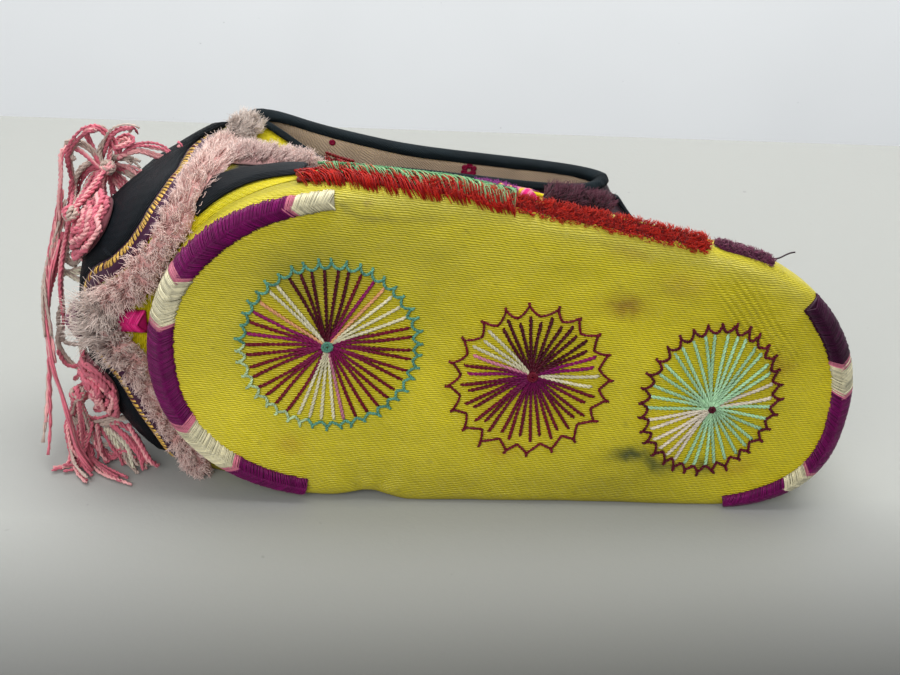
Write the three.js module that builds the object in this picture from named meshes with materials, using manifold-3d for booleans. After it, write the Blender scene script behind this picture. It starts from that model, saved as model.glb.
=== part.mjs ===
// A child's embroidered silk shoe, slack, lying on its side.
// Millimetres, +Z up, floor at Z = 0. The toe points to -X and the sole faces -Y.
import * as THREE from 'three';
import { mergeVertices } from 'three/addons/utils/BufferGeometryUtils.js';
import Module from 'manifold-3d';

const wasm = await Module();
wasm.setup();

// Sole: outline seen square on, and its padding
const soleLength = 142.5;
const ballWidth = 70;
const ballPlace = 55;
const heelWidth = 59;
const toeRound = 38;
const heelRound = 31;
const toeFullness = 2.1;
const heelFullness = 2.4;
const soleBow = 2.2;
const heelSkew = 3.5;
const solePad = 6.5;
const soleCrown = 1.2;
const soleEdgeRound = 3.2;
const puckerPlace = 47;
const puckerReach = 5;
const puckerDepth = 1.8;

// Upper: one cloth wall from the sole's edge to a collar that has slumped sideways
const wall = 1.8;
const wallHeight = 60;
const collarLength = 77;
const throatPlace = 15;
const mouthWidth = 12.5;
const mouthTilt = 1.6;
const collarDepth = 44;
const collarLean = 27.5;
const throatRise = 5;
const throatRiseReach = 12;

// Clearances between pieces that are sewn face to face
const gap = 0.3;
const seamInset = 0.6;

// Insole and collar binding
const insoleThickness = 1.6;
const insoleFit = 0.9;
const bindingThickness = 0.9;
const bindingWidth = 3.6;

// Trims: band widths, thicknesses and pile heights
const furWidth = 7.5;
const furPile = 4.2;
const braidWidth = 2;
const braidThickness = 0.9;
const clothThickness = 0.8;
const branchWidth = 5.2;
const tuftWidth = 6.4;
const bandWidth = 3.4;
const fringeDrop = 2.6;
const fringeRise = 2.1;
const plushWidth = 5;
const plushPile = 1.8;
const patchWidth = 4.4;
const spangleWidth = 3.2;
const stripWidth = 2.8;
const padWidth = 4.8;
const padHeight = 1.6;
const chenilleWidth = 1.9;
const chenilleHeight = 1.4;
const rosetteRadius = 6.6;
const rosetteHeight = 3;
const middleRosetteRadius = 3.4;
const strandRadius = 0.9;
const knotRadius = 2;

// Lying on the floor: the sole leans back, and its lower edge is pressed flat a little
const leanBack = THREE.MathUtils.degToRad(4);
const floorFlat = 0.8;

// Colours
const looks = {
  silk: { color: 0xb3a42c, roughness: 0.6 },
  lining: { color: 0xb59b83, roughness: 0.8 },
  binding: { color: 0x10191e, roughness: 0.7 },
  sateen: { color: 0x101214, roughness: 0.45 },
  braid: { color: 0x6b4a35, roughness: 0.4, metalness: 0.4 },
  fur: { color: 0xc39d9d, roughness: 0.95 },
  greyFur: { color: 0x9c9088, roughness: 0.95 },
  pink: { color: 0xd9788e, roughness: 0.8 },
  mauve: { color: 0x9a6f80, roughness: 0.8 },
  hotPink: { color: 0xb81f6b, roughness: 0.5 },
  red: { color: 0xa31d2a, roughness: 0.85 },
  green: { color: 0x2f6b45, roughness: 0.85 },
  purple: { color: 0x4c1640, roughness: 0.85 },
  brown: { color: 0x3a1f2a, roughness: 0.9 },
  petal: { color: 0xc46a86, roughness: 0.6 },
};

const heelStart = soleLength - heelRound;
const seamLevel = solePad + gap;

function halfWidth(s) {
  const ball = ballWidth / 2;
  const fade = THREE.MathUtils.clamp((s - ballPlace) / (heelStart - ballPlace), 0, 2);
  let half = ball + (heelWidth / 2 - ball) * fade;
  if (s < toeRound) {
    half *= (1 - (1 - s / toeRound) ** toeFullness) ** (1 / toeFullness);
  }
  if (s > heelStart) {
    half *= Math.max(0, 1 - ((s - heelStart) / heelRound) ** heelFullness) ** (1 / heelFullness);
  }
  return half;
}

function bowAt(s) {
  const pastHeel = Math.max(0, (s - heelStart) / heelRound);
  return soleBow * Math.sin(Math.PI * s / soleLength) - heelSkew * pastHeel ** 2;
}

function lowerEdge(s) {
  return bowAt(s) - halfWidth(s);
}

// The lower edge of the sole lies level from ball to heel, so the axis falls to the heel
const heelDrop = Math.atan2(lowerEdge(heelStart) - lowerEdge(ballPlace), heelStart - ballPlace);

// The shoe's own directions: along the sole to the heel, across to the upper side, and
// inwards from the sole
const inward = new THREE.Vector3(0, Math.cos(leanBack), -Math.sin(leanBack));
const upright = new THREE.Vector3(0, Math.sin(leanBack), Math.cos(leanBack));
const along = new THREE.Vector3(Math.cos(heelDrop), 0, 0)
  .addScaledVector(upright, -Math.sin(heelDrop));
const across = new THREE.Vector3(Math.sin(heelDrop), 0, 0)
  .addScaledVector(upright, Math.cos(heelDrop));

// Outline point at a share u of the way round: 0 toe tip, 0.25 upper side, 0.5 heel tip
function outlinePoint(u) {
  const s = soleLength * (1 - Math.cos(2 * Math.PI * u)) / 2;
  const side = Math.sin(2 * Math.PI * u) >= 0 ? 1 : -1;
  let half = halfWidth(s);
  if (side < 0) {
    half -= puckerDepth * Math.exp(-(((s - puckerPlace) / puckerReach) ** 2));
  }
  return [s, side * half + bowAt(s)];
}

// The same point moved in towards the middle line of the sole
function insetPoint(u, inset) {
  const [s, w] = outlinePoint(u);
  const middleS = THREE.MathUtils.clamp(s, toeRound, heelStart);
  const middleW = bowAt(middleS);
  const reach = Math.hypot(s - middleS, w - middleW);
  const keep = 1 - inset / reach;
  return [middleS + (s - middleS) * keep, middleW + (w - middleW) * keep];
}

// Lowest point of the sole's edge before it is laid on the floor
function freePoint(s, w, h) {
  return new THREE.Vector3()
    .addScaledVector(along, s)
    .addScaledVector(across, w)
    .addScaledVector(inward, h);
}

let lowest = Infinity;
let lowestS = 0;
let lowestW = 0;
for (let i = 0; i <= 200; i += 1) {
  const [s, w] = outlinePoint(0.5 + i / 400);
  const z = freePoint(s, w, solePad / 2).z;
  if (z < lowest) {
    lowest = z;
    lowestS = s;
    lowestW = w;
  }
}
const restPlace = 0.55 * soleLength;
const origin = freePoint(restPlace, 0, solePad / 2);
origin.z = lowest + floorFlat;
origin.y = freePoint(lowestS, lowestW, solePad / 2).y;

// A point of the shoe in the part's frame, pressed flat where it would pass the floor
function place(s, w, h, clearance = 0) {
  const point = freePoint(s, w, h).sub(origin);
  point.z = Math.max(point.z, clearance);
  return point;
}

// A closed solid from points and triangles, turned so that its faces point out
function solid(name, points, faces, look) {
  let volume = 0;
  for (const [a, b, c] of faces) {
    volume += points[a].dot(new THREE.Vector3().crossVectors(points[b], points[c]));
  }
  const index = faces.flatMap(([a, b, c]) => (volume > 0 ? [a, b, c] : [a, c, b]));
  const geometry = new THREE.BufferGeometry();
  geometry.setAttribute('position',
    new THREE.Float32BufferAttribute(points.flatMap((p) => [p.x, p.y, p.z]), 3));
  geometry.setIndex(index);
  geometry.computeVertexNormals();
  const material = new THREE.MeshStandardMaterial({ metalness: 0, ...looks[look] });
  const mesh = new THREE.Mesh(geometry, material);
  mesh.name = name;
  return mesh;
}

function quad(faces, a, b, c, d) {
  faces.push([a, b, c], [a, c, d]);
}

// Rings joined in a row, each end closed by a ladder from side to side
function pad(name, rings, look) {
  const count = rings[0].length;
  const points = rings.flat();
  const faces = [];
  for (let k = 0; k + 1 < rings.length; k += 1) {
    for (let i = 0; i < count; i += 1) {
      const next = (i + 1) % count;
      quad(faces, k * count + i, k * count + next, (k + 1) * count + next, (k + 1) * count + i);
    }
  }
  for (const [base, turned] of [[0, true], [(rings.length - 1) * count, false]]) {
    for (let i = 0; i < count / 2; i += 1) {
      const corner = [i, i + 1, (count - i - 1) % count, (count - i) % count];
      const [a, b, c, d] = corner.map((n) => base + n);
      const ladder = [];
      if (a !== d) ladder.push([a, c, d]);
      if (b !== c) ladder.push([a, b, c]);
      for (const face of ladder) faces.push(turned ? [face[0], face[2], face[1]] : face);
    }
  }
  return solid(name, points, faces, look);
}

// A wall between an outer and an inner grid of points, the grids closed or open along u
function shell(name, outer, inner, closed, look) {
  const columns = outer.length;
  const rows = outer[0].length;
  const points = [...outer.flat(), ...inner.flat()];
  const far = columns * rows;
  const faces = [];
  const steps = closed ? columns : columns - 1;
  for (let i = 0; i < steps; i += 1) {
    const a = i * rows;
    const b = ((i + 1) % columns) * rows;
    for (let j = 0; j + 1 < rows; j += 1) {
      quad(faces, a + j, b + j, b + j + 1, a + j + 1);
      quad(faces, far + a + j, far + a + j + 1, far + b + j + 1, far + b + j);
    }
    quad(faces, a, far + a, far + b, b);
    const top = rows - 1;
    quad(faces, a + top, b + top, far + b + top, far + a + top);
  }
  if (!closed) {
    const last = (columns - 1) * rows;
    for (let j = 0; j + 1 < rows; j += 1) {
      quad(faces, j, j + 1, far + j + 1, far + j);
      quad(faces, last + j, far + last + j, far + last + j + 1, last + j + 1);
    }
  }
  return solid(name, points, faces, look);
}

// Sole: rings from the inner face over the rounded edge to the crowned outer face
const soleSides = 48;
const soleRings = [
  { inset: 16, h: solePad },
  { inset: seamInset + wall, h: solePad },
  { inset: 0.25 * soleEdgeRound, h: solePad - 0.3 },
  { inset: 0, h: solePad - 0.3 * soleEdgeRound },
  { inset: 0, h: 0.62 * soleEdgeRound },
  { inset: 0.2 * soleEdgeRound, h: 0.25 * soleEdgeRound },
  { inset: soleEdgeRound, h: 0 },
  { inset: 3 * soleEdgeRound, h: -0.6 * soleCrown },
  { inset: 24, h: -soleCrown },
];

function ringAt(inset, h, clearance = 0) {
  const ring = [];
  for (let i = 0; i < soleSides; i += 1) {
    const [s, w] = insetPoint(i / soleSides, inset);
    ring.push(place(s, w, h, clearance));
  }
  return ring;
}

const sole = pad('sole', soleRings.map(({ inset, h }) => ringAt(inset, h)), 'silk');

// Insole: lies on the sole inside the wall
const insoleInset = seamInset + wall + insoleFit;
const insole = pad('insole', [
  { inset: 16, h: seamLevel + insoleThickness },
  { inset: insoleInset, h: seamLevel + insoleThickness },
  { inset: insoleInset, h: seamLevel },
  { inset: 16, h: seamLevel },
].map(({ inset, h }) => ringAt(inset, h, wall + gap)), 'lining');

// Sections of the upper, one row for each eighth of the way round, in shares of the
// wall's height: how far the wall leaves the seam outwards and inwards along the foot,
// and where its curve comes from below the collar
const sections = [
  { out: 0.42, rise: 0.06, fromS: -0.52, fromW: -0.3, fromH: 0.02 },
  { out: 0.04, rise: 0.22, fromS: -0.12, fromW: -0.08, fromH: -0.17 },
  { out: 0, rise: 0.25, fromS: 0.1, fromW: -0.24, fromH: -0.13 },
  { out: -0.06, rise: 0.22, fromS: 0.25, fromW: -0.3, fromH: -0.12 },
  { out: 0.06, rise: 0.33, fromS: 0.22, fromW: -0.38, fromH: 0 },
  { out: 0.13, rise: 0.5, fromS: 0.16, fromW: -0.56, fromH: 0.1 },
  { out: 0.12, rise: 0.56, fromS: 0.03, fromW: -0.66, fromH: 0.13 },
  { out: 0.46, rise: 0.12, fromS: -0.44, fromW: -0.62, fromH: 0.02 },
];

// A column of the sections at u, through its rows as a closed smooth curve
function around(column, u) {
  const count = sections.length;
  const turn = ((u % 1) + 1) % 1;
  const i = Math.floor(turn * count);
  const t = turn * count - i;
  const at = (k) => sections[(i + k + count) % count][column];
  const [p0, p1, p2, p3] = [at(-1), at(0), at(1), at(2)];
  return p1 + 0.5 * t * (p2 - p0 + t * (2 * p0 - 5 * p1 + 4 * p2 - p3
    + t * (3 * (p1 - p2) + p3 - p0)));
}

function seamPoint(u) {
  const [s, w] = insetPoint(u, seamInset);
  return new THREE.Vector3(s, w, seamLevel);
}

function collarPoint(u) {
  const share = (1 - Math.cos(2 * Math.PI * u)) / 2;
  const side = Math.sin(2 * Math.PI * u) >= 0 ? 1 : -1;
  const half = mouthWidth / 2 * Math.sqrt(Math.max(0, 1 - Math.abs(2 * share - 1) ** 6));
  const s = collarLength * share;
  const w = collarLean + side * mouthTilt / mouthWidth * half
    + throatRise * Math.exp(-((s / throatRiseReach) ** 2));
  return new THREE.Vector3(throatPlace + s, w, collarDepth - side * half);
}

// The wall's outer face at u round the shoe and v from the seam to the collar, in s, w, h
function wallCurve(u, v) {
  const seam = seamPoint(u);
  const collar = collarPoint(u);
  const step = 1e-4;
  const ahead = seamPoint(u + step);
  const behind = seamPoint(u - step);
  const outward = new THREE.Vector2(-(ahead.y - behind.y), ahead.x - behind.x).normalize();
  const out = wallHeight * around('out', u);
  const leave = new THREE.Vector3(seam.x + outward.x * out, seam.y + outward.y * out,
    seam.z + wallHeight * around('rise', u));
  const arrive = new THREE.Vector3(collar.x + wallHeight * around('fromS', u),
    collar.y + wallHeight * around('fromW', u),
    collar.z + wallHeight * around('fromH', u));
  const r = 1 - v;
  return new THREE.Vector3()
    .addScaledVector(seam, r * r * r)
    .addScaledVector(leave, 3 * r * r * v)
    .addScaledVector(arrive, 3 * r * v * v)
    .addScaledVector(collar, v * v * v);
}

// A point off the wall's outer face: positive is outside, minus the wall is its inner face
function wallPoint(u, v, off) {
  const step = 1e-3;
  const point = wallCurve(u, v);
  const du = wallCurve(u + step, v).sub(wallCurve(u - step, v));
  const dv = wallCurve(u, v + step).sub(wallCurve(u, v - step));
  const outward = new THREE.Vector3().crossVectors(dv, du).normalize();
  point.addScaledVector(outward, off);
  return place(point.x, point.y, point.z, Math.max(0, -off));
}

const upperColumns = 58;
const upperRows = 11;
const endDensity = 0.4;

function upperFace(off) {
  const grid = [];
  for (let i = 0; i < upperColumns; i += 1) {
    const even = i / upperColumns;
    const u = even - endDensity * Math.sin(4 * Math.PI * even) / (4 * Math.PI);
    const column = [];
    for (let j = 0; j <= upperRows; j += 1) column.push(wallPoint(u, j / upperRows, off));
    const [s, w] = insetPoint(u, seamInset - off);
    column[0] = place(s, w, seamLevel, Math.max(0, -off));
    grid.push(column);
  }
  return grid;
}

const upper = shell('upper', upperFace(0), upperFace(-wall), true, 'silk');

// Collar binding: a folded strip over the collar edge, clear of the wall
const bindingColumns = 36;
const bindingReach = bindingWidth / wallHeight;
const bindingOuter = [];
const bindingInner = [];
for (let i = 0; i < bindingColumns; i += 1) {
  const u = i / bindingColumns;
  const low = 1 - bindingReach;
  const over = 1 + gap / wallHeight;
  const top = 1 + (gap + bindingThickness) / wallHeight;
  const out = gap + bindingThickness;
  const inn = -wall - gap - bindingThickness;
  bindingOuter.push([
    wallPoint(u, low, out), wallPoint(u, 1, out), wallPoint(u, top, gap),
    wallPoint(u, top, -wall - gap), wallPoint(u, 1, inn), wallPoint(u, low, inn),
  ]);
  bindingInner.push([
    wallPoint(u, low, gap), wallPoint(u, 1, gap), wallPoint(u, over, gap),
    wallPoint(u, over, -wall - gap), wallPoint(u, 1, -wall - gap), wallPoint(u, low, -wall - gap),
  ]);
}
const collarBinding = shell('collar_binding', bindingOuter, bindingInner, true, 'binding');

// Moves on the wall's face from u, v by x millimetres to the left of the heading (goU, goV)
// and y millimetres along it
function move(u, v, goU, goV, x, y) {
  const step = 1e-3;
  const su = wallCurve(u + step, v).sub(wallCurve(u - step, v)).divideScalar(2 * step);
  const sv = wallCurve(u, v + step).sub(wallCurve(u, v - step)).divideScalar(2 * step);
  const heading = su.clone().multiplyScalar(goU).addScaledVector(sv, goV).normalize();
  const face = new THREE.Vector3().crossVectors(su, sv).normalize();
  const shift = new THREE.Vector3().crossVectors(face, heading).multiplyScalar(x)
    .addScaledVector(heading, y);
  const [a, b, c] = [su.dot(su), su.dot(sv), sv.dot(sv)];
  const [p, q] = [shift.dot(su), shift.dot(sv)];
  const det = a * c - b * b;
  return [u + (p * c - q * b) / det, v + (a * q - b * p) / det];
}

function pathOf(rows) {
  return new THREE.SplineCurve(rows.map(({ u, v }) => new THREE.Vector2(u, v)));
}

function beside(path, t, x) {
  const at = path.getPoint(t);
  const go = path.getTangent(t);
  return move(at.x, at.y, go.x, go.y, x, 0);
}

const belowBinding = 1 - bindingReach - gap / wallHeight;

function lay([u, v], off) {
  return wallPoint(u, THREE.MathUtils.clamp(v, 0.012, belowBinding), off);
}

// A strip on the wall along a path, between two lines beside it. Its height is a function
// of the share across and the share along.
function strip(name, { path, from, to, columns, rows, clear = gap, height, look }) {
  const outer = [];
  const inner = [];
  for (let i = 0; i <= columns; i += 1) {
    const along01 = i / columns;
    outer.push([]);
    inner.push([]);
    for (let j = 0; j <= rows; j += 1) {
      const across01 = j / rows;
      const fray = from.fray && (i % 2) ? 1 - from.fray : 1;
      const low = (from.at ?? from) * fray;
      const spot = beside(path, along01, low + (to - low) * across01);
      inner[i].push(lay(spot, clear));
      outer[i].push(lay(spot, clear + height(across01, along01)));
    }
  }
  return shell(name, outer, inner, false, look);
}

// Heights of a strip: flat cloth, a round cord, and locks of pile
const flat = (thickness) => () => thickness;
const round = (high) => (across01) => high * (0.35 + 0.65 * Math.sin(Math.PI * across01));
const locks = (pile, count) => (across01, along01) => {
  const dome = Math.sqrt(Math.max(0.06, Math.sin(Math.PI * across01)));
  const lock = 0.5 + 0.5 * Math.sin(2 * Math.PI * count * along01 + 5 * across01);
  return pile * dome * (0.72 + 0.28 * lock);
};

// Fur band round the face, from the floor side over the toe to the throat
const furPath = pathOf([
  { u: -0.106, v: 0.62 },
  { u: -0.118, v: 0.42 },
  { u: -0.108, v: 0.22 },
  { u: -0.085, v: 0.1 },
  { u: -0.05, v: 0.09 },
  { u: -0.022, v: 0.15 },
  { u: 0, v: 0.24 },
  { u: 0.018, v: 0.15 },
  { u: 0.038, v: 0.1 },
  { u: 0.058, v: 0.13 },
  { u: 0.074, v: 0.28 },
  { u: 0.083, v: 0.46 },
  { u: 0.08, v: 0.65 },
  { u: 0.07, v: 0.8 },
]);
const furTrim = strip('fur_trim', {
  path: furPath,
  from: -furWidth / 2,
  to: furWidth / 2,
  columns: 44,
  rows: 4,
  height: locks(furPile, 11),
  look: 'fur',
});

// Braid just inside the fur, and the black face inside the braid
const braidFrom = furWidth / 2 + gap;
const braidClear = 5 * gap;
const braidTo = braidFrom + braidWidth;
const braidTrim = strip('braid_trim', {
  path: furPath,
  from: braidFrom,
  to: braidTo,
  columns: 44,
  rows: 1,
  height: flat(braidThickness),
  look: 'braid',
});

const faceColumns = 22;
const faceRows = 8;
const faceThroat = 0.04;
const faceClear = 2.5 * gap;
const faceOuter = [];
const faceInner = [];
for (let i = 0; i <= faceColumns; i += 1) {
  const t = i / faceColumns;
  const edge = beside(furPath, t, braidTo + braidClear);
  const top = [faceThroat * (2 * t - 1), belowBinding];
  const spots = [];
  for (let j = 0; j <= faceRows; j += 1) {
    const share = j / faceRows;
    spots.push([edge[0] + (top[0] - edge[0]) * share, edge[1] + (top[1] - edge[1]) * share]);
  }
  faceInner.push(spots.map((spot) => lay(spot, faceClear)));
  faceOuter.push(spots.map((spot) => lay(spot, faceClear + clothThickness)));
}
const vampPanel = shell('vamp_panel', faceOuter, faceInner, false, 'sateen');

// Branch of fur from the throat along the upper side, with a black band below it
const furBranch = strip('fur_branch', {
  path: pathOf([{ u: 0.104, v: 0.5 }, { u: 0.118, v: 0.6 }, { u: 0.135, v: 0.62 }, { u: 0.152, v: 0.55 }]),
  from: -branchWidth / 2,
  to: branchWidth / 2,
  columns: 14,
  rows: 4,
  height: locks(0.7 * furPile, 4),
  look: 'fur',
});
const throatTuft = strip('throat_tuft', {
  path: pathOf([{ u: 0.058, v: 0.875 }, { u: 0.072, v: 0.885 }, { u: 0.088, v: 0.885 }]),
  from: -tuftWidth / 2,
  to: tuftWidth / 2,
  columns: 8,
  rows: 4,
  height: locks(furPile, 3),
  look: 'greyFur',
});
const sideBand = strip('side_band', {
  path: pathOf([{ u: 0.092, v: 0.17 }, { u: 0.112, v: 0.22 }, { u: 0.14, v: 0.2 }]),
  from: -bandWidth / 2,
  to: bandWidth / 2,
  columns: 10,
  rows: 2,
  height: flat(clothThickness),
  look: 'sateen',
});

// Fringes, plush and appliqué crumpled together on the upper side
const sideTrims = [
  {
    name: 'side_fringe_red', look: 'red', from: { at: -fringeDrop, fray: 0.35 }, to: fringeRise,
    path: [{ u: 0.163, v: 0.62 }, { u: 0.178, v: 0.58 }, { u: 0.19, v: 0.5 }],
    columns: 12, rows: 2, height: flat(1.3),
  },
  {
    name: 'side_fringe_green', look: 'green', from: { at: -fringeDrop, fray: 0.4 }, to: fringeRise,
    path: [{ u: 0.155, v: 0.24 }, { u: 0.18, v: 0.26 }, { u: 0.21, v: 0.25 }, { u: 0.238, v: 0.2 }],
    columns: 18, rows: 2, height: flat(1.2),
  },
  {
    name: 'side_braid', look: 'braid', from: -braidWidth / 2, to: braidWidth / 2,
    path: [{ u: 0.215, v: 0.84 }, { u: 0.25, v: 0.85 }, { u: 0.275, v: 0.85 }],
    columns: 8, rows: 1, height: flat(braidThickness),
  },
  {
    name: 'side_plush_purple', look: 'purple', from: -plushWidth / 2, to: plushWidth / 2,
    path: [{ u: 0.225, v: 0.5 }, { u: 0.25, v: 0.56 }, { u: 0.285, v: 0.6 }],
    columns: 12, rows: 4, height: locks(plushPile, 4),
  },
  {
    name: 'petal_patch', look: 'petal', from: -patchWidth / 2, to: patchWidth / 2,
    path: [{ u: 0.251, v: 0.2 }, { u: 0.268, v: 0.24 }, { u: 0.284, v: 0.24 }],
    columns: 8, rows: 2, height: flat(clothThickness),
  },
  {
    name: 'side_plush_brown', look: 'brown', from: -plushWidth / 2, to: plushWidth / 2,
    path: [{ u: 0.305, v: 0.4 }, { u: 0.325, v: 0.55 }, { u: 0.35, v: 0.7 }],
    columns: 12, rows: 4, height: locks(plushPile, 4),
  },
  {
    name: 'side_spangles', look: 'hotPink', from: -spangleWidth / 2, to: spangleWidth / 2,
    path: [{ u: 0.296, v: 0.74 }, { u: 0.312, v: 0.8 }],
    columns: 4, rows: 2, height: round(1.2),
  },
  {
    name: 'seam_chenille_red', look: 'red', from: -chenilleWidth / 2, to: chenilleWidth / 2,
    path: [{ u: 0.205, v: 0.055 }, { u: 0.25, v: 0.055 }, { u: 0.3, v: 0.055 }, { u: 0.343, v: 0.055 }],
    columns: 16, rows: 3, height: round(chenilleHeight),
  },
  {
    name: 'seam_chenille_purple', look: 'brown', from: -chenilleWidth / 2, to: chenilleWidth / 2,
    path: [{ u: 0.35, v: 0.055 }, { u: 0.37, v: 0.055 }, { u: 0.392, v: 0.055 }],
    columns: 10, rows: 3, height: round(chenilleHeight),
  },
  {
    name: 'heel_strip', look: 'sateen', from: -stripWidth / 2, to: stripWidth / 2,
    path: [{ u: 0.5, v: 0.42 }, { u: 0.5, v: 0.7 }, { u: 0.5, v: belowBinding }],
    columns: 8, rows: 1, height: flat(clothThickness),
  },
  {
    name: 'far_fringe', look: 'red', from: { at: -fringeDrop, fray: 0.35 }, to: fringeRise,
    path: [{ u: 0.766, v: 0.88 }, { u: 0.81, v: 0.88 }, { u: 0.86, v: 0.88 }],
    columns: 18, rows: 2, height: flat(1.6),
  },
  {
    name: 'toe_pad', look: 'hotPink', from: -padWidth / 2, to: padWidth / 2,
    path: [{ u: 0.001, v: 0.02 }, { u: -0.001, v: 0.07 }, { u: -0.003, v: 0.11 }],
    columns: 6, rows: 4, height: round(padHeight),
  },
].map(({ name, path, ...rest }) => strip(name, { path: pathOf(path), ...rest }));

const coilBase = faceClear + clothThickness + gap;

// A coil of yarn lying on the face: a disc that follows the wall, with raised turns
function rosette(name, { u, v, radius, high, turns, look }) {
  const sides = 18;
  const rings = 2 * turns;
  const base = coilBase;
  const points = [wallPoint(u, v, base + high), wallPoint(u, v, base)];
  const faces = [];
  const index = (ring, i, layer) => 2 + ((ring - 1) * sides + (i % sides)) * 2 + layer;
  for (let ring = 1; ring <= rings; ring += 1) {
    const out = radius * ring / rings;
    for (let i = 0; i < sides; i += 1) {
      const angle = 2 * Math.PI * i / sides;
      const wavy = ring === rings ? 1 + 0.08 * Math.cos(5 * angle) : 1;
      const spot = move(u, v, 1, 0, out * wavy * Math.cos(angle), out * wavy * Math.sin(angle));
      const ridge = ring % 2 ? 1 : 0.72;
      const dome = high * ridge * (1 - 0.55 * (ring / rings) ** 2);
      points.push(wallPoint(...spot, base + dome), wallPoint(...spot, base));
    }
  }
  for (let i = 0; i < sides; i += 1) {
    faces.push([0, index(1, i, 0), index(1, i + 1, 0)], [1, index(1, i + 1, 1), index(1, i, 1)]);
    for (let ring = 1; ring < rings; ring += 1) {
      quad(faces, index(ring, i, 0), index(ring + 1, i, 0), index(ring + 1, i + 1, 0),
        index(ring, i + 1, 0));
      quad(faces, index(ring, i, 1), index(ring, i + 1, 1), index(ring + 1, i + 1, 1),
        index(ring + 1, i, 1));
    }
    quad(faces, index(rings, i, 0), index(rings, i, 1), index(rings, i + 1, 1),
      index(rings, i + 1, 0));
  }
  return solid(name, points, faces, look);
}

const upperCoil = { u: 0.016, v: 0.42 };
const lowerCoil = { u: -0.056, v: 0.29 };
const rosettes = [
  rosette('rosette_upper', {
    ...upperCoil, radius: rosetteRadius, high: rosetteHeight, turns: 3, look: 'pink',
  }),
  rosette('rosette_lower', {
    ...lowerCoil, radius: rosetteRadius, high: rosetteHeight, turns: 3, look: 'pink',
  }),
  rosette('rosette_middle', {
    u: -0.028, v: 0.42, radius: middleRosetteRadius, high: 0.8 * rosetteHeight, turns: 2, look: 'mauve',
  }),
];

// Bundles of twisted yarn: strands joined at a knot that sits on a coil. The points of each
// strand are s, w, h of the shoe.
const bundles = [
  {
    name: 'tassel_upper',
    coil: upperCoil,
    strands: [
      [[-19.5, 17, 31], [-20.5, 25, 30], [-16.5, 30.5, 30], [-13.5, 27, 32]],
      [[-15.5, 20, 34], [-12.5, 29, 32], [-8, 31.5, 31], [-6, 28, 33]],
      [[-14, 17, 37], [-11, 25, 37], [-8, 29, 36]],
      [[-20.5, 12, 28], [-22.3, 6, 25], [-22.8, -6, 22], [-21.8, -18, 20], [-20.8, -29, 14],
        [-20.4, -37.5, 6]],
      [[-20, 9, 25], [-20.8, 0, 23], [-19.8, -9, 22], [-20.3, -16, 23]],
    ],
  },
  {
    name: 'tassel_lower',
    coil: lowerCoil,
    strands: [
      [[-17, -32, 17], [-14, -36, 9], [-9.5, -37.5, 3.5]],
      [[-13, -35, 13], [-8, -36.5, 7], [-1.1, -37, 3]],
      [[-17, -34, 22], [-18.5, -37, 26]],
      [[-10, -35, 14], [-3, -35.5, 11], [3, -36, 9]],
    ],
  },
];

function manifoldOf(geometry) {
  geometry.deleteAttribute('normal');
  geometry.deleteAttribute('uv');
  const merged = mergeVertices(geometry, 1e-4);
  return new wasm.Manifold(new wasm.Mesh({
    numProp: 3,
    vertProperties: merged.attributes.position.array,
    triVerts: new Uint32Array(merged.index.array),
  }));
}

function strandSolid(knot, points) {
  const route = points.map(([s, w, h]) => place(s, w, h, 1.2 * strandRadius));
  const curve = new THREE.CatmullRomCurve3([knot, ...route]);
  const section = new THREE.Shape();
  section.absarc(0, 0, strandRadius, 0, 2 * Math.PI);
  return manifoldOf(new THREE.ExtrudeGeometry(section, {
    steps: Math.round(curve.getLength() / 4.5),
    curveSegments: 3,
    extrudePath: curve,
  }));
}

const tassels = bundles.map(({ name, coil, strands }) => {
  const lift = coilBase + rosetteHeight + gap + knotRadius;
  const knot = wallPoint(coil.u, coil.v, lift);
  const ball = new THREE.IcosahedronGeometry(knotRadius, 1).translate(knot.x, knot.y, knot.z);
  let bundle = manifoldOf(ball);
  for (const points of strands) bundle = bundle.add(strandSolid(knot, points));
  const mesh = bundle.getMesh();
  const points = [];
  for (let i = 0; i < mesh.vertProperties.length; i += mesh.numProp) {
    points.push(new THREE.Vector3(...mesh.vertProperties.slice(i, i + 3)));
  }
  const faces = [];
  for (let i = 0; i < mesh.triVerts.length; i += 3) faces.push([...mesh.triVerts.slice(i, i + 3)]);
  return solid(name, points, faces, 'pink');
});

const shoe = new THREE.Group();
shoe.add(sole, insole, upper, collarBinding, furTrim, braidTrim, vampPanel, furBranch, throatTuft);
shoe.add(sideBand);
shoe.add(...sideTrims, ...rosettes, ...tassels);

export default shoe;
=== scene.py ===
"""A child's embroidered silk shoe lying on its side: cloth, stitches, fur and yarn."""
import math

import bpy
import numpy as np
from mathutils import Matrix


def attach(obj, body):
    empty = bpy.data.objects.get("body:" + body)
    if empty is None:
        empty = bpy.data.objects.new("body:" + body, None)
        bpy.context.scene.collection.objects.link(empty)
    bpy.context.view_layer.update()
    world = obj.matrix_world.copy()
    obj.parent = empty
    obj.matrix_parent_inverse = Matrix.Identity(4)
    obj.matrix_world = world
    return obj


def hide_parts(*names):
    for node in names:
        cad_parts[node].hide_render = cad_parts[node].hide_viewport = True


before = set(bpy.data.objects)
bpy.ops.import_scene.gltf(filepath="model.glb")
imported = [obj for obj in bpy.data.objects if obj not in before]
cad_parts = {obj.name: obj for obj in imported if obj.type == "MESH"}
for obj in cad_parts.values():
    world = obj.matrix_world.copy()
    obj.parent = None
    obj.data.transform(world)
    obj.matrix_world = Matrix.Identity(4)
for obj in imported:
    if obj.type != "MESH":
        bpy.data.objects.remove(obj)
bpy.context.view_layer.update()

MM = 0.001
TAU = 2 * math.pi

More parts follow.
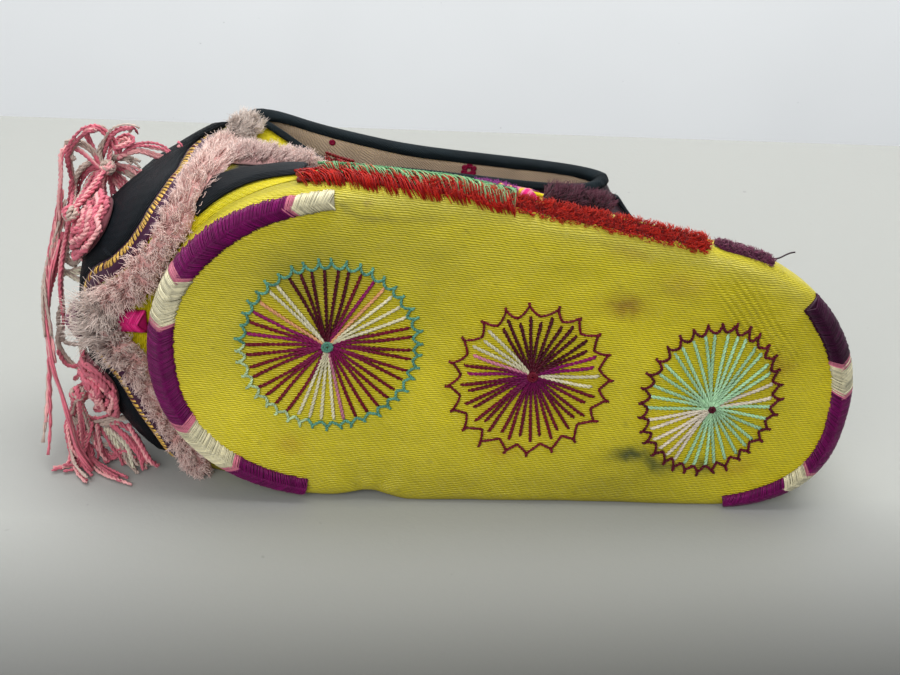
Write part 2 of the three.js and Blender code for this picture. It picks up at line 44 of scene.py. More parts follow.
# Sizes of the shoe in millimetres, as the solids have them
SOLE_LENGTH = 142.5
BALL_WIDTH = 70
BALL_PLACE = 55
HEEL_WIDTH = 59
TOE_ROUND = 38
HEEL_ROUND = 31
TOE_FULLNESS = 2.1
HEEL_FULLNESS = 2.4
SOLE_BOW = 2.2
HEEL_SKEW = 3.5
SOLE_PAD = 6.5
SOLE_CROWN = 1.2
SOLE_EDGE = 3.2
PUCKER_PLACE = 47
PUCKER_REACH = 5
PUCKER_DEPTH = 1.8
WALL = 1.8
WALL_HEIGHT = 60
COLLAR_LENGTH = 77
THROAT_PLACE = 15
MOUTH_WIDTH = 12.5
MOUTH_TILT = 1.6
COLLAR_DEPTH = 44
COLLAR_LEAN = 27.5
THROAT_RISE = 5
THROAT_RISE_REACH = 12
GAP = 0.3
SEAM_INSET = 0.6
LEAN_BACK = math.radians(4)
FLOOR_FLAT = 0.8
HEEL_START = SOLE_LENGTH - HEEL_ROUND
SEAM_LEVEL = SOLE_PAD + GAP

# How much the near and the far edge of the collar sag, and how square its mouth is
NEAR_SAG = 2.1
NEAR_DIP = 0.8
FAR_DIP = 1.5
MOUTH_SQUARENESS = 6

# Below this v a path lies on the sole's side, which is so many millimetres for one unit of v
SEAM_V = 0.012
SIDE_RUN = 43

# A small step in u, v or share for finding a direction, the places at which a path is
# measured, and the size of the noise tables
STEP = 1e-3
MEASURED_PLACES = 300
NOISE_CELLS = 61

# How far cloth, stitches, hairs and yarn keep off the floor
CLOTH_CLEAR = 0.02
FACE_STITCH_CLEAR = 0.05
PILE_CLEAR = 0.12
ARC_CLEAR = 0.25
CORD_CLEAR = 0.7
ROUTE_CLEAR = 0.9


# The shoe's own form: s from toe to heel, w across to the upper side, h in from the sole
def full_half(s):
    """Half the sole's width, without its rounded ends."""
    fade = np.clip((s - BALL_PLACE) / (HEEL_START - BALL_PLACE), 0, 2)
    return BALL_WIDTH / 2 + (HEEL_WIDTH - BALL_WIDTH) / 2 * fade


def half_width(s):
    toe = np.clip(1 - s / TOE_ROUND, 0, 1) ** TOE_FULLNESS
    heel = np.clip((s - HEEL_START) / HEEL_ROUND, 0, 1) ** HEEL_FULLNESS
    return full_half(s) * (1 - toe) ** (1 / TOE_FULLNESS) * (1 - heel) ** (1 / HEEL_FULLNESS)


def bow_at(s):
    past_heel = np.maximum(0, (s - HEEL_START) / HEEL_ROUND)
    return SOLE_BOW * np.sin(math.pi * s / SOLE_LENGTH) - HEEL_SKEW * past_heel ** 2


def lower_edge(s):
    return float(bow_at(s) - half_width(s))


HEEL_DROP = math.atan2(lower_edge(HEEL_START) - lower_edge(BALL_PLACE), HEEL_START - BALL_PLACE)
INWARD = np.array([0, math.cos(LEAN_BACK), -math.sin(LEAN_BACK)])
UPRIGHT = np.array([0, math.sin(LEAN_BACK), math.cos(LEAN_BACK)])
ALONG = np.array([math.cos(HEEL_DROP), 0, 0]) - UPRIGHT * math.sin(HEEL_DROP)
ACROSS = np.array([math.sin(HEEL_DROP), 0, 0]) + UPRIGHT * math.cos(HEEL_DROP)


def outline_point(u):
    """The sole's outline at a share of the way round: 0 toe tip, 0.25 upper side, 0.5 heel."""
    s = SOLE_LENGTH * (1 - np.cos(TAU * u)) / 2
    lower = np.sin(TAU * u) < 0
    pucker = PUCKER_DEPTH * np.exp(-((s - PUCKER_PLACE) / PUCKER_REACH) ** 2)
    half = half_width(s) - np.where(lower, pucker, 0)
    return s, np.where(lower, -half, half) + bow_at(s)


def unit(vectors):
    return vectors / np.maximum(np.linalg.norm(vectors, axis=-1, keepdims=True), 1e-9)


def spine_point(s):
    """The point of the sole's middle line that a place on the edge turns round."""
    middle = np.clip(s, TOE_ROUND, HEEL_START)
    return middle, bow_at(middle)


def rim_way(s, w):
    """The way out from the middle line at a place on the edge, in s and w."""
    middle_s, middle_w = spine_point(s)
    return unit(np.stack([s - middle_s, w - middle_w], -1))


def inset_point(u, inset):
    s, w = outline_point(u)
    middle_s, middle_w = spine_point(s)
    keep = 1 - inset / np.hypot(s - middle_s, w - middle_w)
    return middle_s + (s - middle_s) * keep, middle_w + (w - middle_w) * keep


def free_point(s, w, h):
    s, w, h = (np.asarray(x, float)[..., None] for x in (s, w, h))
    return s * ALONG + w * ACROSS + h * INWARD


edge_u = np.linspace(0.5, 1, 201)
edge = free_point(*outline_point(edge_u), np.full_like(edge_u, SOLE_PAD / 2))
lowest = edge[np.argmin(edge[:, 2])]
ORIGIN = free_point(0.55 * SOLE_LENGTH, 0, SOLE_PAD / 2)
ORIGIN[1:] = lowest[1:] + np.array([0, FLOOR_FLAT])


def place(s, w, h, clearance=0):
    """Points of the shoe in the row frame, in millimetres, pressed flat at the floor."""
    s, w, h = np.broadcast_arrays(s, w, h)
    point = free_point(s, w, h) - ORIGIN
    point[..., 2] = np.maximum(point[..., 2], clearance)
    return point


# Sections of the upper, one row for each eighth of the way round, in shares of its height
SECTIONS = {
    "out": (0.42, 0.04, 0, -0.06, 0.06, 0.13, 0.12, 0.46),
    "rise": (0.06, 0.22, 0.25, 0.22, 0.33, 0.5, 0.56, 0.12),
    "from_s": (-0.52, -0.12, 0.1, 0.25, 0.22, 0.16, 0.03, -0.44),
    "from_w": (-0.3, -0.08, -0.24, -0.3, -0.38, -0.56, -0.66, -0.62),
    "from_h": (0.02, -0.17, -0.13, -0.12, 0, 0.1, 0.13, 0.02),
}


def catmull(p0, p1, p2, p3, t):
    """The Catmull-Rom curve between p1 and p2."""
    return p1 + 0.5 * t * (p2 - p0 + t * (2 * p0 - 5 * p1 + 4 * p2 - p3
                                         + t * (3 * (p1 - p2) + p3 - p0)))


def around(column, u):
    values = np.array(SECTIONS[column], float)
    count = len(values)
    turn = (u % 1) * count
    i = np.floor(turn).astype(int)
    return catmull(*(values[(i + k) % count] for k in (-1, 0, 1, 2)), turn - i)


def dome(x, power, least=0.0):
    """A rounded crest over x from -1 to 1."""
    return np.sqrt(np.maximum(least, 1 - np.abs(x) ** power))


def blend(low, high, share):
    return low * (1 - share) + high * share


def run_length(paths):
    """The distance run at each point of a path, or of each of several paths."""
    steps = np.linalg.norm(np.diff(paths, axis=-2), axis=-1)
    return np.concatenate([np.zeros(steps.shape[:-1] + (1,)), np.cumsum(steps, -1)], -1)


def seam_point(u):
    s, w = inset_point(u, SEAM_INSET)
    return np.stack([s, w, np.full_like(s, SEAM_LEVEL)], -1)


def collar_point(u):
    share = (1 - np.cos(TAU * u)) / 2
    side = np.where(np.sin(TAU * u) >= 0, 1, -1)
    half = MOUTH_WIDTH / 2 * dome(2 * share - 1, MOUTH_SQUARENESS)
    s = COLLAR_LENGTH * share
    near_sag = NEAR_SAG * np.clip((s - 1) / 14, 0, 1) + NEAR_DIP * np.exp(-((s - 20) / 9) ** 2)
    far_sag = -FAR_DIP * np.exp(-((s - 17) / 13) ** 2)
    sag = np.where(side > 0, near_sag, far_sag) * half / MOUTH_WIDTH * 2
    w = (COLLAR_LEAN + side * MOUTH_TILT / MOUTH_WIDTH * half - sag
         + THROAT_RISE * np.exp(-(s / THROAT_RISE_REACH) ** 2))
    return np.stack([THROAT_PLACE + s, w, COLLAR_DEPTH - side * half], -1)


def wall_curve(u, v):
    u, v = np.broadcast_arrays(np.asarray(u, float), np.asarray(v, float))
    seam, collar = seam_point(u), collar_point(u)
    run = seam_point(u + 1e-4) - seam_point(u - 1e-4)
    outward = unit(np.stack([-run[..., 1], run[..., 0], np.zeros_like(u)], -1))
    leave = seam + outward * (WALL_HEIGHT * around("out", u))[..., None]
    leave[..., 2] += WALL_HEIGHT * around("rise", u)
    lead = np.stack([around(k, u) for k in ("from_s", "from_w", "from_h")], -1)
    arrive = collar + WALL_HEIGHT * lead
    v = v[..., None]
    r = 1 - v
    return seam * r ** 3 + 3 * leave * r * r * v + 3 * arrive * r * v * v + collar * v ** 3


def lattice(x, y, seed):
    """Smooth noise from -1 to 1 on a unit lattice."""
    size = (NOISE_CELLS, NOISE_CELLS)
    table = np.random.default_rng(seed).uniform(-1, 1, size)
    i, j = np.floor(x).astype(int), np.floor(y).astype(int)
    fx, fy = x - i, y - j
    fx, fy = fx * fx * (3 - 2 * fx), fy * fy * (3 - 2 * fy)
    corner = [table[(i + a) % NOISE_CELLS, (j + b) % NOISE_CELLS] for a in (0, 1) for b in (0, 1)]
    return blend(blend(corner[0], corner[1], fy), blend(corner[2], corner[3], fy), fx)


def bell(x, y, at_x, at_y, reach_x, reach_y, turn=0.0):
    """A soft spot: 1 at its middle, fading over its two reaches."""
    c, n = math.cos(turn), math.sin(turn)
    dx, dy = x - at_x, y - at_y
    a, b = (c * dx + n * dy) / reach_x, (c * dy - n * dx) / reach_y
    return np.exp(-(a * a + b * b))


# Slack folds of the upper: u, v, reach along u and v, turn, and height in millimetres
WALL_FOLDS = (
    (0.03, 0.6, 0.02, 0.3, 0.0, -0.7),
    (0.045, 0.35, 0.012, 0.2, 0.03, 0.6),
    (-0.03, 0.75, 0.015, 0.2, 0.0, -0.6),
    (0.13, 0.75, 0.03, 0.1, 0.1, -0.6),
    (0.2, 0.7, 0.04, 0.08, 0.05, 0.6),
    (0.28, 0.35, 0.05, 0.1, -0.1, -0.7),
    (0.36, 0.55, 0.03, 0.2, 0.0, 0.6),
    (0.42, 0.5, 0.02, 0.3, 0.03, -0.8),
    (0.47, 0.35, 0.015, 0.3, -0.02, 0.7),
    (0.55, 0.5, 0.02, 0.3, 0.05, -0.9),
    (0.62, 0.6, 0.04, 0.12, 0.1, 0.8),
    (0.7, 0.4, 0.05, 0.1, -0.15, -0.9),
    (0.74, 0.72, 0.06, 0.08, 0.1, 0.8),
    (0.8, 0.3, 0.03, 0.16, 0.1, 0.7),
    (0.86, 0.6, 0.03, 0.2, 0.0, -0.8),
    (0.92, 0.35, 0.02, 0.2, 0.0, 0.6),
)


def folds(u, v):
    u = np.asarray(u, float) % 1
    height = 0.25 * lattice(u * 40, v * 6, 3)
    for at_u, at_v, reach_u, reach_v, turn, high in WALL_FOLDS:
        near = (u - at_u + 0.5) % 1 - 0.5
        height = height + high * bell(near, v, 0, at_v, reach_u, reach_v, turn)
    fade = np.clip(v / 0.15, 0, 1) * np.clip((1 - v) / 0.12, 0, 1)
    return height * fade


def wall_frame(u, v):
    """Points of the wall's curve, and the outward direction there."""
    du = wall_curve(u + STEP, v) - wall_curve(u - STEP, v)
    dv = wall_curve(u, v + STEP) - wall_curve(u, v - STEP)
    return wall_curve(u, v), unit(np.cross(dv, du))


def wall_point(u, v, off):
    u, v, off = np.broadcast_arrays(*(np.asarray(x, float) for x in (u, v, off)))
    point, outward = wall_frame(u, v)
    point = point + outward * (off + folds(u, v))[..., None]
    return place(point[..., 0], point[..., 1], point[..., 2], np.maximum(CLOTH_CLEAR, -off))


def row_normal(u, v):
    """The wall's outward direction in the row frame."""
    outward = wall_frame(u, v)[1]
    return outward[..., :1] * ALONG + outward[..., 1:2] * ACROSS + outward[..., 2:] * INWARD


def move(u, v, go_u, go_v, x, y=0.0):
    """Moves on the wall by x millimetres to the left of a heading and y along it."""
    su = (wall_curve(u + STEP, v) - wall_curve(u - STEP, v)) / (2 * STEP)
    sv = (wall_curve(u, v + STEP) - wall_curve(u, v - STEP)) / (2 * STEP)
    go_u, go_v, x, y = (np.asarray(k, float)[..., None] for k in (go_u, go_v, x, y))
    heading = unit(su * go_u + sv * go_v)
    shift = np.cross(unit(np.cross(su, sv)), heading) * x + heading * y
    a, b, c = ((p * q).sum(-1) for p, q in ((su, su), (su, sv), (sv, sv)))
    p, q = (shift * su).sum(-1), (shift * sv).sum(-1)
    det = a * c - b * b
    return u + (p * c - q * b) / det, v + (a * q - b * p) / det


def spline(points, t):
    """A curve through the points, at shares t of the way along it."""
    points = np.asarray(points, float)
    last = len(points) - 1
    at = np.clip(np.asarray(t, float), 0, 1) * last
    i = np.minimum(at.astype(int), last - 1)
    return catmull(*(points[np.clip(i + k, 0, last)] for k in (-1, 0, 1, 2)), (at - i)[..., None])


def beside(path, t, x):
    """Places on the wall at shares t of a path in u, v, and x millimetres to its left."""
    at = spline(path, t)
    go = spline(path, t + STEP) - spline(path, t - STEP)
    return move(at[..., 0], at[..., 1], go[..., 0], go[..., 1], x)


# The hubs of the three medallions on the sole, in s and w
TOE_HUB = (34.7, 3.4)
MIDDLE_HUB = (75.8, 1.2)
HEEL_HUB = (113.3, -2.2)


# The sole's outer face, with its soft relief
def edge_distance(s, w):
    """How far in from the edge a place of the sole lies."""
    side = np.abs(w - bow_at(s))
    toe = np.clip(1 - s / TOE_ROUND, 0, None)
    heel = np.clip((s - HEEL_START) / HEEL_ROUND, 0, None)
    power = np.where(s < TOE_ROUND, TOE_FULLNESS, HEEL_FULLNESS)
    out = ((toe + heel) ** power + (side / full_half(s)) ** power) ** (1 / power)
    reach = np.hypot(toe * TOE_ROUND + heel * HEEL_ROUND, side)
    return reach * (1 / np.maximum(out, 1e-6) - 1)


def edge_profile(inset):
    """Height of the padded edge and the crown, against the distance in from the edge."""
    rim = 1 - np.clip(inset / SOLE_EDGE, 0, 1)
    return 0.62 * SOLE_EDGE * (1 - dome(rim, 2.2)) - SOLE_CROWN * (1 - np.exp(-inset / 9))


def heel_ridges(s, w):
    """Ridges where the cloth is pulled over the heel."""
    across = ((s - 119) * 0.72 + (w - 17) * 0.69)
    down = ((s - 119) * 0.69 - (w - 17) * 0.72)
    window = np.exp(-(across / 4.6) ** 4) * np.exp(-(down / 13) ** 4)
    return window * np.cos(TAU * (across + 0.4 * np.sin(down / 5)) / 1.25)


def relief(s, w):
    """Outward height of the padding's lumps, the worn ridges and the pulls of stitching."""
    high = 0.28 * lattice(s / 13, w / 11, 5) + 0.12 * lattice(s / 5, w / 4.5, 6)
    high = high + 0.05 * lattice(s / 1.7, w / 1.5, 7)
    high = high + 0.26 * heel_ridges(s, w)
    # gathers drawn into the pucker at the lower edge
    ds, dw = s - PUCKER_PLACE, w + 34
    reach = np.hypot(ds, dw)
    turn = np.arctan2(ds, dw + 1e-6)
    high = high + 0.35 * np.exp(-(reach / 9) ** 2) * np.cos(7 * turn + 0.6)
    high = high - 0.9 * np.exp(-(ds / 4.2) ** 2 - (dw / 4.5) ** 2)
    # a low welt where a second layer of cloth ends near the toe
    high = high + 0.1 * np.tanh((s - 14 - 0.1 * (w - 30)) / 0.4) * np.exp(-((w - 33) / 3.5) ** 2)
    # padding sinks a little under each medallion's hub
    for hub in (TOE_HUB, MIDDLE_HUB, HEEL_HUB):
        high = high - 0.45 * np.exp(-((s - hub[0]) ** 2 + (w - hub[1]) ** 2) / 30)
    return high


def padded_height(s, w, inset):
    """Height of the padding at places whose distance in from the edge is known."""
    return edge_profile(inset) - relief(s, w) * np.clip(inset / 2.5, 0, 1)


def face_height(s, w):
    return padded_height(s, w, np.maximum(edge_distance(s, w), 0))


def on_sole(s, w, lift):
    """A point lifted off the sole's outer face, in the row frame."""
    return place(s, w, face_height(s, w) - lift, FACE_STITCH_CLEAR)


# Mesh makers
def make_mesh(name, points, faces, material, values, smooth=True, indices=None):
    """A mesh object from points in millimetres, a list of face arrays, and values per point."""
    loops = np.concatenate([f.ravel() for f in faces]).astype(np.int32)
    sizes = np.concatenate([np.full(len(f), f.shape[1]) for f in faces])
    starts = np.concatenate([[0], np.cumsum(sizes)[:-1]]).astype(np.int32)
    points = np.array(points, float).reshape(-1, 3)
    mesh = bpy.data.meshes.new(name)
    mesh.vertices.add(len(points))
    mesh.vertices.foreach_set("co", (points * MM).astype(np.float32).ravel())
    mesh.loops.add(len(loops))
    mesh.loops.foreach_set("vertex_index", loops)
    mesh.polygons.add(len(starts))
    mesh.polygons.foreach_set("loop_start", starts)
    mesh.polygons.foreach_set("use_smooth", np.full(len(starts), smooth))
    for entry in material if isinstance(material, list) else [material]:
        mesh.materials.append(entry)
    if indices is not None:
        mesh.polygons.foreach_set("material_index", np.asarray(indices, np.int32))
    mesh.update(calc_edges=True)
    for key, value in values.items():
        value = np.asarray(value, np.float32).reshape(-1, 3)
        if key == "tint":
            value = np.concatenate([value, np.ones((len(points), 1), np.float32)], 1)
            layer = mesh.attributes.new(key, "FLOAT_COLOR", "POINT")
            layer.data.foreach_set("color", value.ravel())
        else:
            layer = mesh.attributes.new(key, "FLOAT_VECTOR", "POINT")
            layer.data.foreach_set("vector", value.ravel())
    made = bpy.data.objects.new(name, mesh)
    bpy.context.scene.collection.objects.link(made)
    return made


def make_piece(name, points, faces, material, values, nodes, indices=None):
    """A mesh that rides on the one body, above the floor, and hides the model's parts that it stands
    for.
    """
    points = np.array(points, float).reshape(-1, 3)
    points[:, 2] = np.maximum(points[:, 2], 0)
    piece = make_mesh(name, points, faces, material, values, indices=indices)
    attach(piece, "root")
    if nodes:
        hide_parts(*nodes)
    return piece


def grid_faces(columns, rows, closed=False):
    """Quads of a grid whose points run row by row within each column."""
    i = np.arange(columns if closed else columns - 1)[:, None]
    j = np.arange(rows - 1)[None, :]
    after = (i + 1) % columns
    quads = np.stack([i * rows + j, after * rows + j, after * rows + j + 1, i * rows + j + 1], -1)
    return quads.reshape(-1, 4)


def cap_faces(columns, rows, row, turned):
    """Closes a row of a closed grid with a ladder of quads and a triangle at each end."""
    half = columns // 2
    i = np.arange(1, half - 1)
    ladder = np.stack([i, i + 1, columns - i - 1, columns - i], -1)
    ends = np.array([[0, 1, columns - 1], [half - 1, half, half + 1]])
    return [(f[:, ::-1] if turned else f) * rows + row for f in (ladder, ends)]


def slab(outer, inner, closed=False):
    """Points and faces of a thin solid between two grids of the same shape."""
    columns, rows = outer.shape[:2]
    points = np.concatenate([outer.reshape(-1, 3), inner.reshape(-1, 3)])
    front = grid_faces(columns, rows, closed)
    far = columns * rows
    back = front[:, ::-1] + far
    i = np.arange(columns if closed else columns - 1)
    low, after = i * rows, (i + 1) % columns * rows
    top = rows - 1
    sides = [np.stack([low, low + far, after + far, after], -1),
             np.stack([low + top, after + top, after + top + far, low + top + far], -1)]
    if not closed:
        j = np.arange(rows - 1)
        end = j + (columns - 1) * rows
        sides.append(np.stack([j, j + 1, j + 1 + far, j + far], -1))
        sides.append(np.stack([end, end + far, end + 1 + far, end + 1], -1))
    return points, front, back, np.concatenate(sides)


def slab_part(outer, inner, tint, closed=False):
    points, *faces = slab(outer, inner, closed)
    return points, faces, tint


def carried(paths, first):
    """Two cross directions carried along each path without twisting."""
    tangent = unit(np.gradient(paths, axis=1))
    normal = np.empty_like(paths)
    held = np.broadcast_to(first, paths[:, 0].shape)
    for k in range(paths.shape[1]):
        t = tangent[:, k]
        held = unit(held - (held * t).sum(-1, keepdims=True) * t)
        normal[:, k] = held
    return normal, np.cross(tangent, normal)


def tubes(paths, radius, sides, first, tint, flat=1.0):
    """Closed tubes along paths of the same number of points, as points, faces and tint.

    The tint is one colour, or one for each path, or one for each point of each path.
    """
    count, steps = paths.shape[:2]
    normal, side = carried(paths, first)
    radius = np.broadcast_to(radius, (count, steps))
    angle = TAU * np.arange(sides) / sides
    ring = (np.cos(angle)[:, None] * normal[:, :, None] * flat
            + np.sin(angle)[:, None] * side[:, :, None])
    points = paths[:, :, None] + ring * radius[..., None, None]
    base = (np.arange(count) * steps * sides)[:, None, None]
    k = (np.arange(steps - 1) * sides)[None, :, None]
    a = np.arange(sides)[None, None, :]
    b = (a + 1) % sides
    quads = np.stack([base + k + a, base + k + b, base + k + sides + b, base + k + sides + a], -1)
    first_cap = base[:, 0] + np.arange(sides)[::-1]
    last_cap = base[:, 0] + (steps - 1) * sides + np.arange(sides)
    tint = tint.reshape(tint.shape[:-1] + (1,) * (4 - tint.ndim) + (3,))
    tint = np.broadcast_to(tint, points.shape).reshape(-1, 3)
    return points.reshape(-1, 3), [quads.reshape(-1, 4), first_cap, last_cap], tint


def joined_piece(name, parts, material, nodes=()):
    """One piece from several parts, each with its points, faces and tint."""
    points, faces, tints, base = [], [], [], 0
    for part_points, part_faces, tint in parts:
        points.append(part_points)
        faces.extend(f + base for f in part_faces)
        tints.append(np.broadcast_to(tint, part_points.shape))
        base += len(part_points)
    return make_piece(name, np.concatenate(points), faces, material,
                      {"tint": np.concatenate(tints)}, nodes)


def resample(path, count):
    """A path's points spread evenly along its length."""
    length = run_length(path)
    at = np.linspace(0, length[-1], count)
    return np.stack([np.interp(at, length, path[:, k]) for k in range(path.shape[1])], -1)


def plied(paths, radius, pitch, first, sides, tint):
    """Twisted cords: two plies wind round a path, or round each of several paths."""
    paths = paths.reshape(-1, *paths.shape[-2:])
    normal, side = carried(paths, first)
    length = run_length(paths)
    radius = np.broadcast_to(radius, length.shape)
    parts = []
    for half_turn in (0, 0.5):
        phase = TAU * (length / pitch + half_turn)
        shift = np.cos(phase)[..., None] * normal + np.sin(phase)[..., None] * side
        strand = paths + 0.5 * radius[..., None] * shift
        parts.append(tubes(strand, 0.56 * radius, sides, first, tint))
    return parts


# Materials, built from nodes
class Shade:
    def __init__(self, name):
        self.material = bpy.data.materials.new(name)
        self.material.use_nodes = True
        self.tree = self.material.node_tree
        self.shader = self.tree.nodes["Principled BSDF"]

    def put(self, socket, value):
        if isinstance(value, bpy.types.NodeSocket):
            self.tree.links.new(value, socket)
        else:
            socket.default_value = value

    def node(self, kind, inputs=(), output=0, **settings):
        made = self.tree.nodes.new("ShaderNode" + kind)
        for key, value in settings.items():
            setattr(made, key, value)
        for key, value in dict(inputs).items():
            self.put(made.inputs[key], value)
        return made.outputs[output]

    def math(self, operation, *values):
        return self.node("Math", dict(enumerate(values)), operation=operation)

    def attribute(self, name, output="Vector"):
        return self.node("Attribute", output=output, attribute_name=name)

    def noise(self, vector, scale, detail=2.0):
        return self.node("TexNoise", {"Vector": vector, "Scale": scale, "Detail": detail}, "Fac")

    def split(self, vector):
        made = self.tree.nodes.new("ShaderNodeSeparateXYZ")
        self.put(made.inputs[0], vector)
        return made.outputs[0], made.outputs[1]

    def ramp(self, value, low, high, to_low, to_high):
        return self.node("MapRange", {0: value, 1: low, 2: high, 3: to_low, 4: to_high},
                         clamp=True)

    def scaled(self, colour, factor):
        grey = self.node("CombineColor", {0: factor, 1: factor, 2: factor})
        return self.node("Mix", {0: 1.0, 6: colour, 7: grey}, 2, data_type="RGBA",
                         blend_type="MULTIPLY", clamp_factor=True)

    def bump(self, height, distance):
        return self.node("Bump", {"Height": height, "Distance": distance}, "Normal")

    def finish(self, colour, roughness, specular, sheen=0.0, sheen_roughness=0.5, metallic=0.0,
               normal=None):
        values = {"Base Color": colour, "Roughness": roughness, "Specular IOR Level": specular,
                  "Sheen Weight": sheen, "Sheen Roughness": sheen_roughness,
                  "Metallic": metallic}
        if normal is not None:
            values["Normal"] = normal
        for key, value in values.items():
            self.put(self.shader.inputs[key], value)
        return self.material


def rgb(red, green, blue):
    """A screen colour from 0 to 255 as linear light."""
    values = np.array([red, green, blue]) / 255
    return np.where(values <= 0.04045, values / 12.92, ((values + 0.055) / 1.055) ** 2.4)


def weave_material(name, rib, dash, depth, slant, contrast, roughness, specular, sheen=0.0):
    """Woven cloth: ribs across one way, broken into dashes that step along a slant."""
    shade = Shade(name)
    cloth = shade.attribute("cloth")
    x, y = shade.split(cloth)
    wander = shade.noise(cloth, 0.35)
    row = shade.math("MULTIPLY_ADD", wander, 1.6, shade.math("DIVIDE", y, rib))
    ribs = shade.math("SINE", shade.math("MULTIPLY", row, TAU))
    column = shade.math("MULTIPLY_ADD", y, slant / rib, shade.math("DIVIDE", x, dash))
    dashes = shade.math("SINE", shade.math("MULTIPLY", column, TAU))
    thread = shade.math("MULTIPLY_ADD", dashes, 0.45, ribs)
    thread = shade.math("MULTIPLY_ADD", shade.noise(cloth, 3.2, 3.0), 1.1, thread)
    light = shade.ramp(thread, -0.9, 1.9, 1 - contrast, 1 + contrast * 0.55)
    colour = shade.scaled(shade.attribute("tint", "Color"), light)
    return shade.finish(colour, roughness, specular, sheen, 0.4,
                        normal=shade.bump(thread, depth))


def pile_material(name, roughness, sheen, specular, metallic=0.0):
    """Fibres and threads: the colour comes with each strand, with a little mottling."""
    shade = Shade(name)
    mottle = shade.noise(shade.node("TexCoord", output="Object"), 900.0)
    light = shade.ramp(mottle, 0.3, 0.7, 0.86, 1.12)
    colour = shade.scaled(shade.attribute("tint", "Color"), light)
    return shade.finish(colour, roughness, specular, sheen, metallic=metallic)


# Rib and dash in millimetres, depth of the weave in metres, slant, contrast and shine
silk = weave_material("yellow_silk", 0.46, 1.3, 0.00008, 0.33, 0.2, 0.38, 0.45)
lining = weave_material("lining_twill", 0.62, 60.0, 0.00006, 0.0, 0.16, 0.8, 0.2, 0.1)
binding_cloth = weave_material("dark_binding", 0.34, 0.34, 0.00005, 0.0, 0.25, 0.62, 0.12)
sateen = weave_material("black_sateen", 0.3, 2.4, 0.00004, 0.33, 0.3, 0.55, 0.14)
fur_hair = pile_material("pink_fur", 0.9, 0.25, 0.1)
floss = pile_material("silk_floss", 0.42, 0.02, 0.26)
wool = pile_material("wool_yarn", 0.7, 0.12, 0.25)
plush = pile_material("plush_pile", 0.8, 0.1, 0.15)
braid_metal = pile_material("braid_metal", 0.36, 0.1, 0.6, 0.45)

YELLOW = rgb(230, 212, 24)
OLIVE = rgb(188, 176, 18)
CREAM = rgb(222, 214, 180)
PURPLE = rgb(112, 0, 84)
DARK_PURPLE = rgb(54, 4, 40)
MAGENTA = rgb(140, 16, 92)
MAROON = rgb(108, 4, 34)
NEAR_BLACK = rgb(76, 2, 26)
PEACH = rgb(224, 160, 116)
MINT = rgb(168, 208, 166)
TEAL = rgb(98, 158, 136)
PALE_MINT = rgb(190, 214, 170)
BLOSSOM = rgb(206, 128, 150)


def frame_of(x, y, z, at):
    """The matrix of an object with these axes at a place in metres."""
    return Matrix([[x[k], y[k], z[k], at[k]] for k in range(3)] + [[0, 0, 0, 1]])


# Camera: the photograph's angle to the shoe
PITCH, YAW, ROLL = math.radians(32), math.radians(5), math.radians(4)
EYE = np.array([-41.0, -249.7, 195.3])
forward = np.array([math.sin(YAW) * math.cos(PITCH), math.cos(YAW) * math.cos(PITCH),
                    -math.sin(PITCH)])
level = unit(np.cross(forward, [0, 0, 1]))
overhead = np.cross(level, forward)
camera_x = level * math.cos(ROLL) + overhead * math.sin(ROLL)
camera_y = overhead * math.cos(ROLL) - level * math.sin(ROLL)
camera = bpy.data.objects.new("camera", bpy.data.cameras.new("camera"))
camera.data.lens = 60
camera.data.sensor_width = 36
camera.data.clip_start = 0.01
camera.matrix_world = frame_of(camera_x, camera_y, -forward, EYE * MM)
bpy.context.scene.collection.objects.link(camera)
bpy.context.scene.camera = camera


# Stage: a pale table that ends behind the shoe, and a lighter wall
def stage_plane(name, corners, colour, roughness, front_shade=1.0):
    """A flat part of the stage; painted shade darkens its tone towards the front."""
    shade = Shade(name)
    where = shade.node("TexCoord", output="Object")
    cloudy = shade.ramp(shade.noise(where, 6.0, 3.0), 0.3, 0.7, 0.97, 1.02)
    specks = shade.ramp(shade.noise(where, 260.0, 1.0), 0.78, 0.82, 1.0, 0.82)
    x, y = shade.split(where)
    slope = shade.math("MULTIPLY_ADD", x, -0.06, y)
    # painted shade: the tone darkens towards the front
    painted_front_shade = shade.ramp(slope, -0.062, -0.004, front_shade, 1.0)
    tone = shade.math("MULTIPLY", shade.math("MULTIPLY", cloudy, specks), painted_front_shade)
    paint = shade.scaled((*colour, 1.0), tone)
    grain = shade.bump(shade.noise(where, 900.0), 0.00004)
    shade.finish(paint, roughness, 0.25, normal=grain)
    quad = [np.array([[0, 1, 2, 3]])]
    make_mesh(name, corners, quad, shade.material, {}, smooth=False)


TABLE_EDGE = 184
TABLE_SIDE = 1500
WALL_PLACE = 700
WALL_SIDE = 2500
# the table's front is painted shade, down to 0.16 of its tone
stage_plane("table", [(-TABLE_SIDE, -TABLE_SIDE, 0), (TABLE_SIDE, -TABLE_SIDE, 0),
                      (TABLE_SIDE, TABLE_EDGE, 0), (-TABLE_SIDE, TABLE_EDGE, 0)],
            rgb(156, 157, 153), 0.55, 0.16)
stage_plane("back_wall", [(-WALL_SIDE, WALL_PLACE, -900), (WALL_SIDE, WALL_PLACE, -900),
                          (WALL_SIDE, WALL_PLACE, 1500), (-WALL_SIDE, WALL_PLACE, 1500)],
            rgb(240, 242, 242), 0.8)


def area_light(name, at, toward, size, power, colour=(1, 1, 1)):
    data = bpy.data.lights.new(name, "AREA")
    data.shape = "RECTANGLE"
    data.size, data.size_y = size
    data.energy = power
    data.color = colour
    light = bpy.data.objects.new(name, data)
    at, toward = np.array(at, float), np.array(toward, float)
    back = unit(at - toward)
    x = unit(np.cross([0.02, 1, 0.01], back))
    y = np.cross(back, x)
    light.matrix_world = frame_of(x, y, back, at)
    bpy.context.scene.collection.objects.link(light)


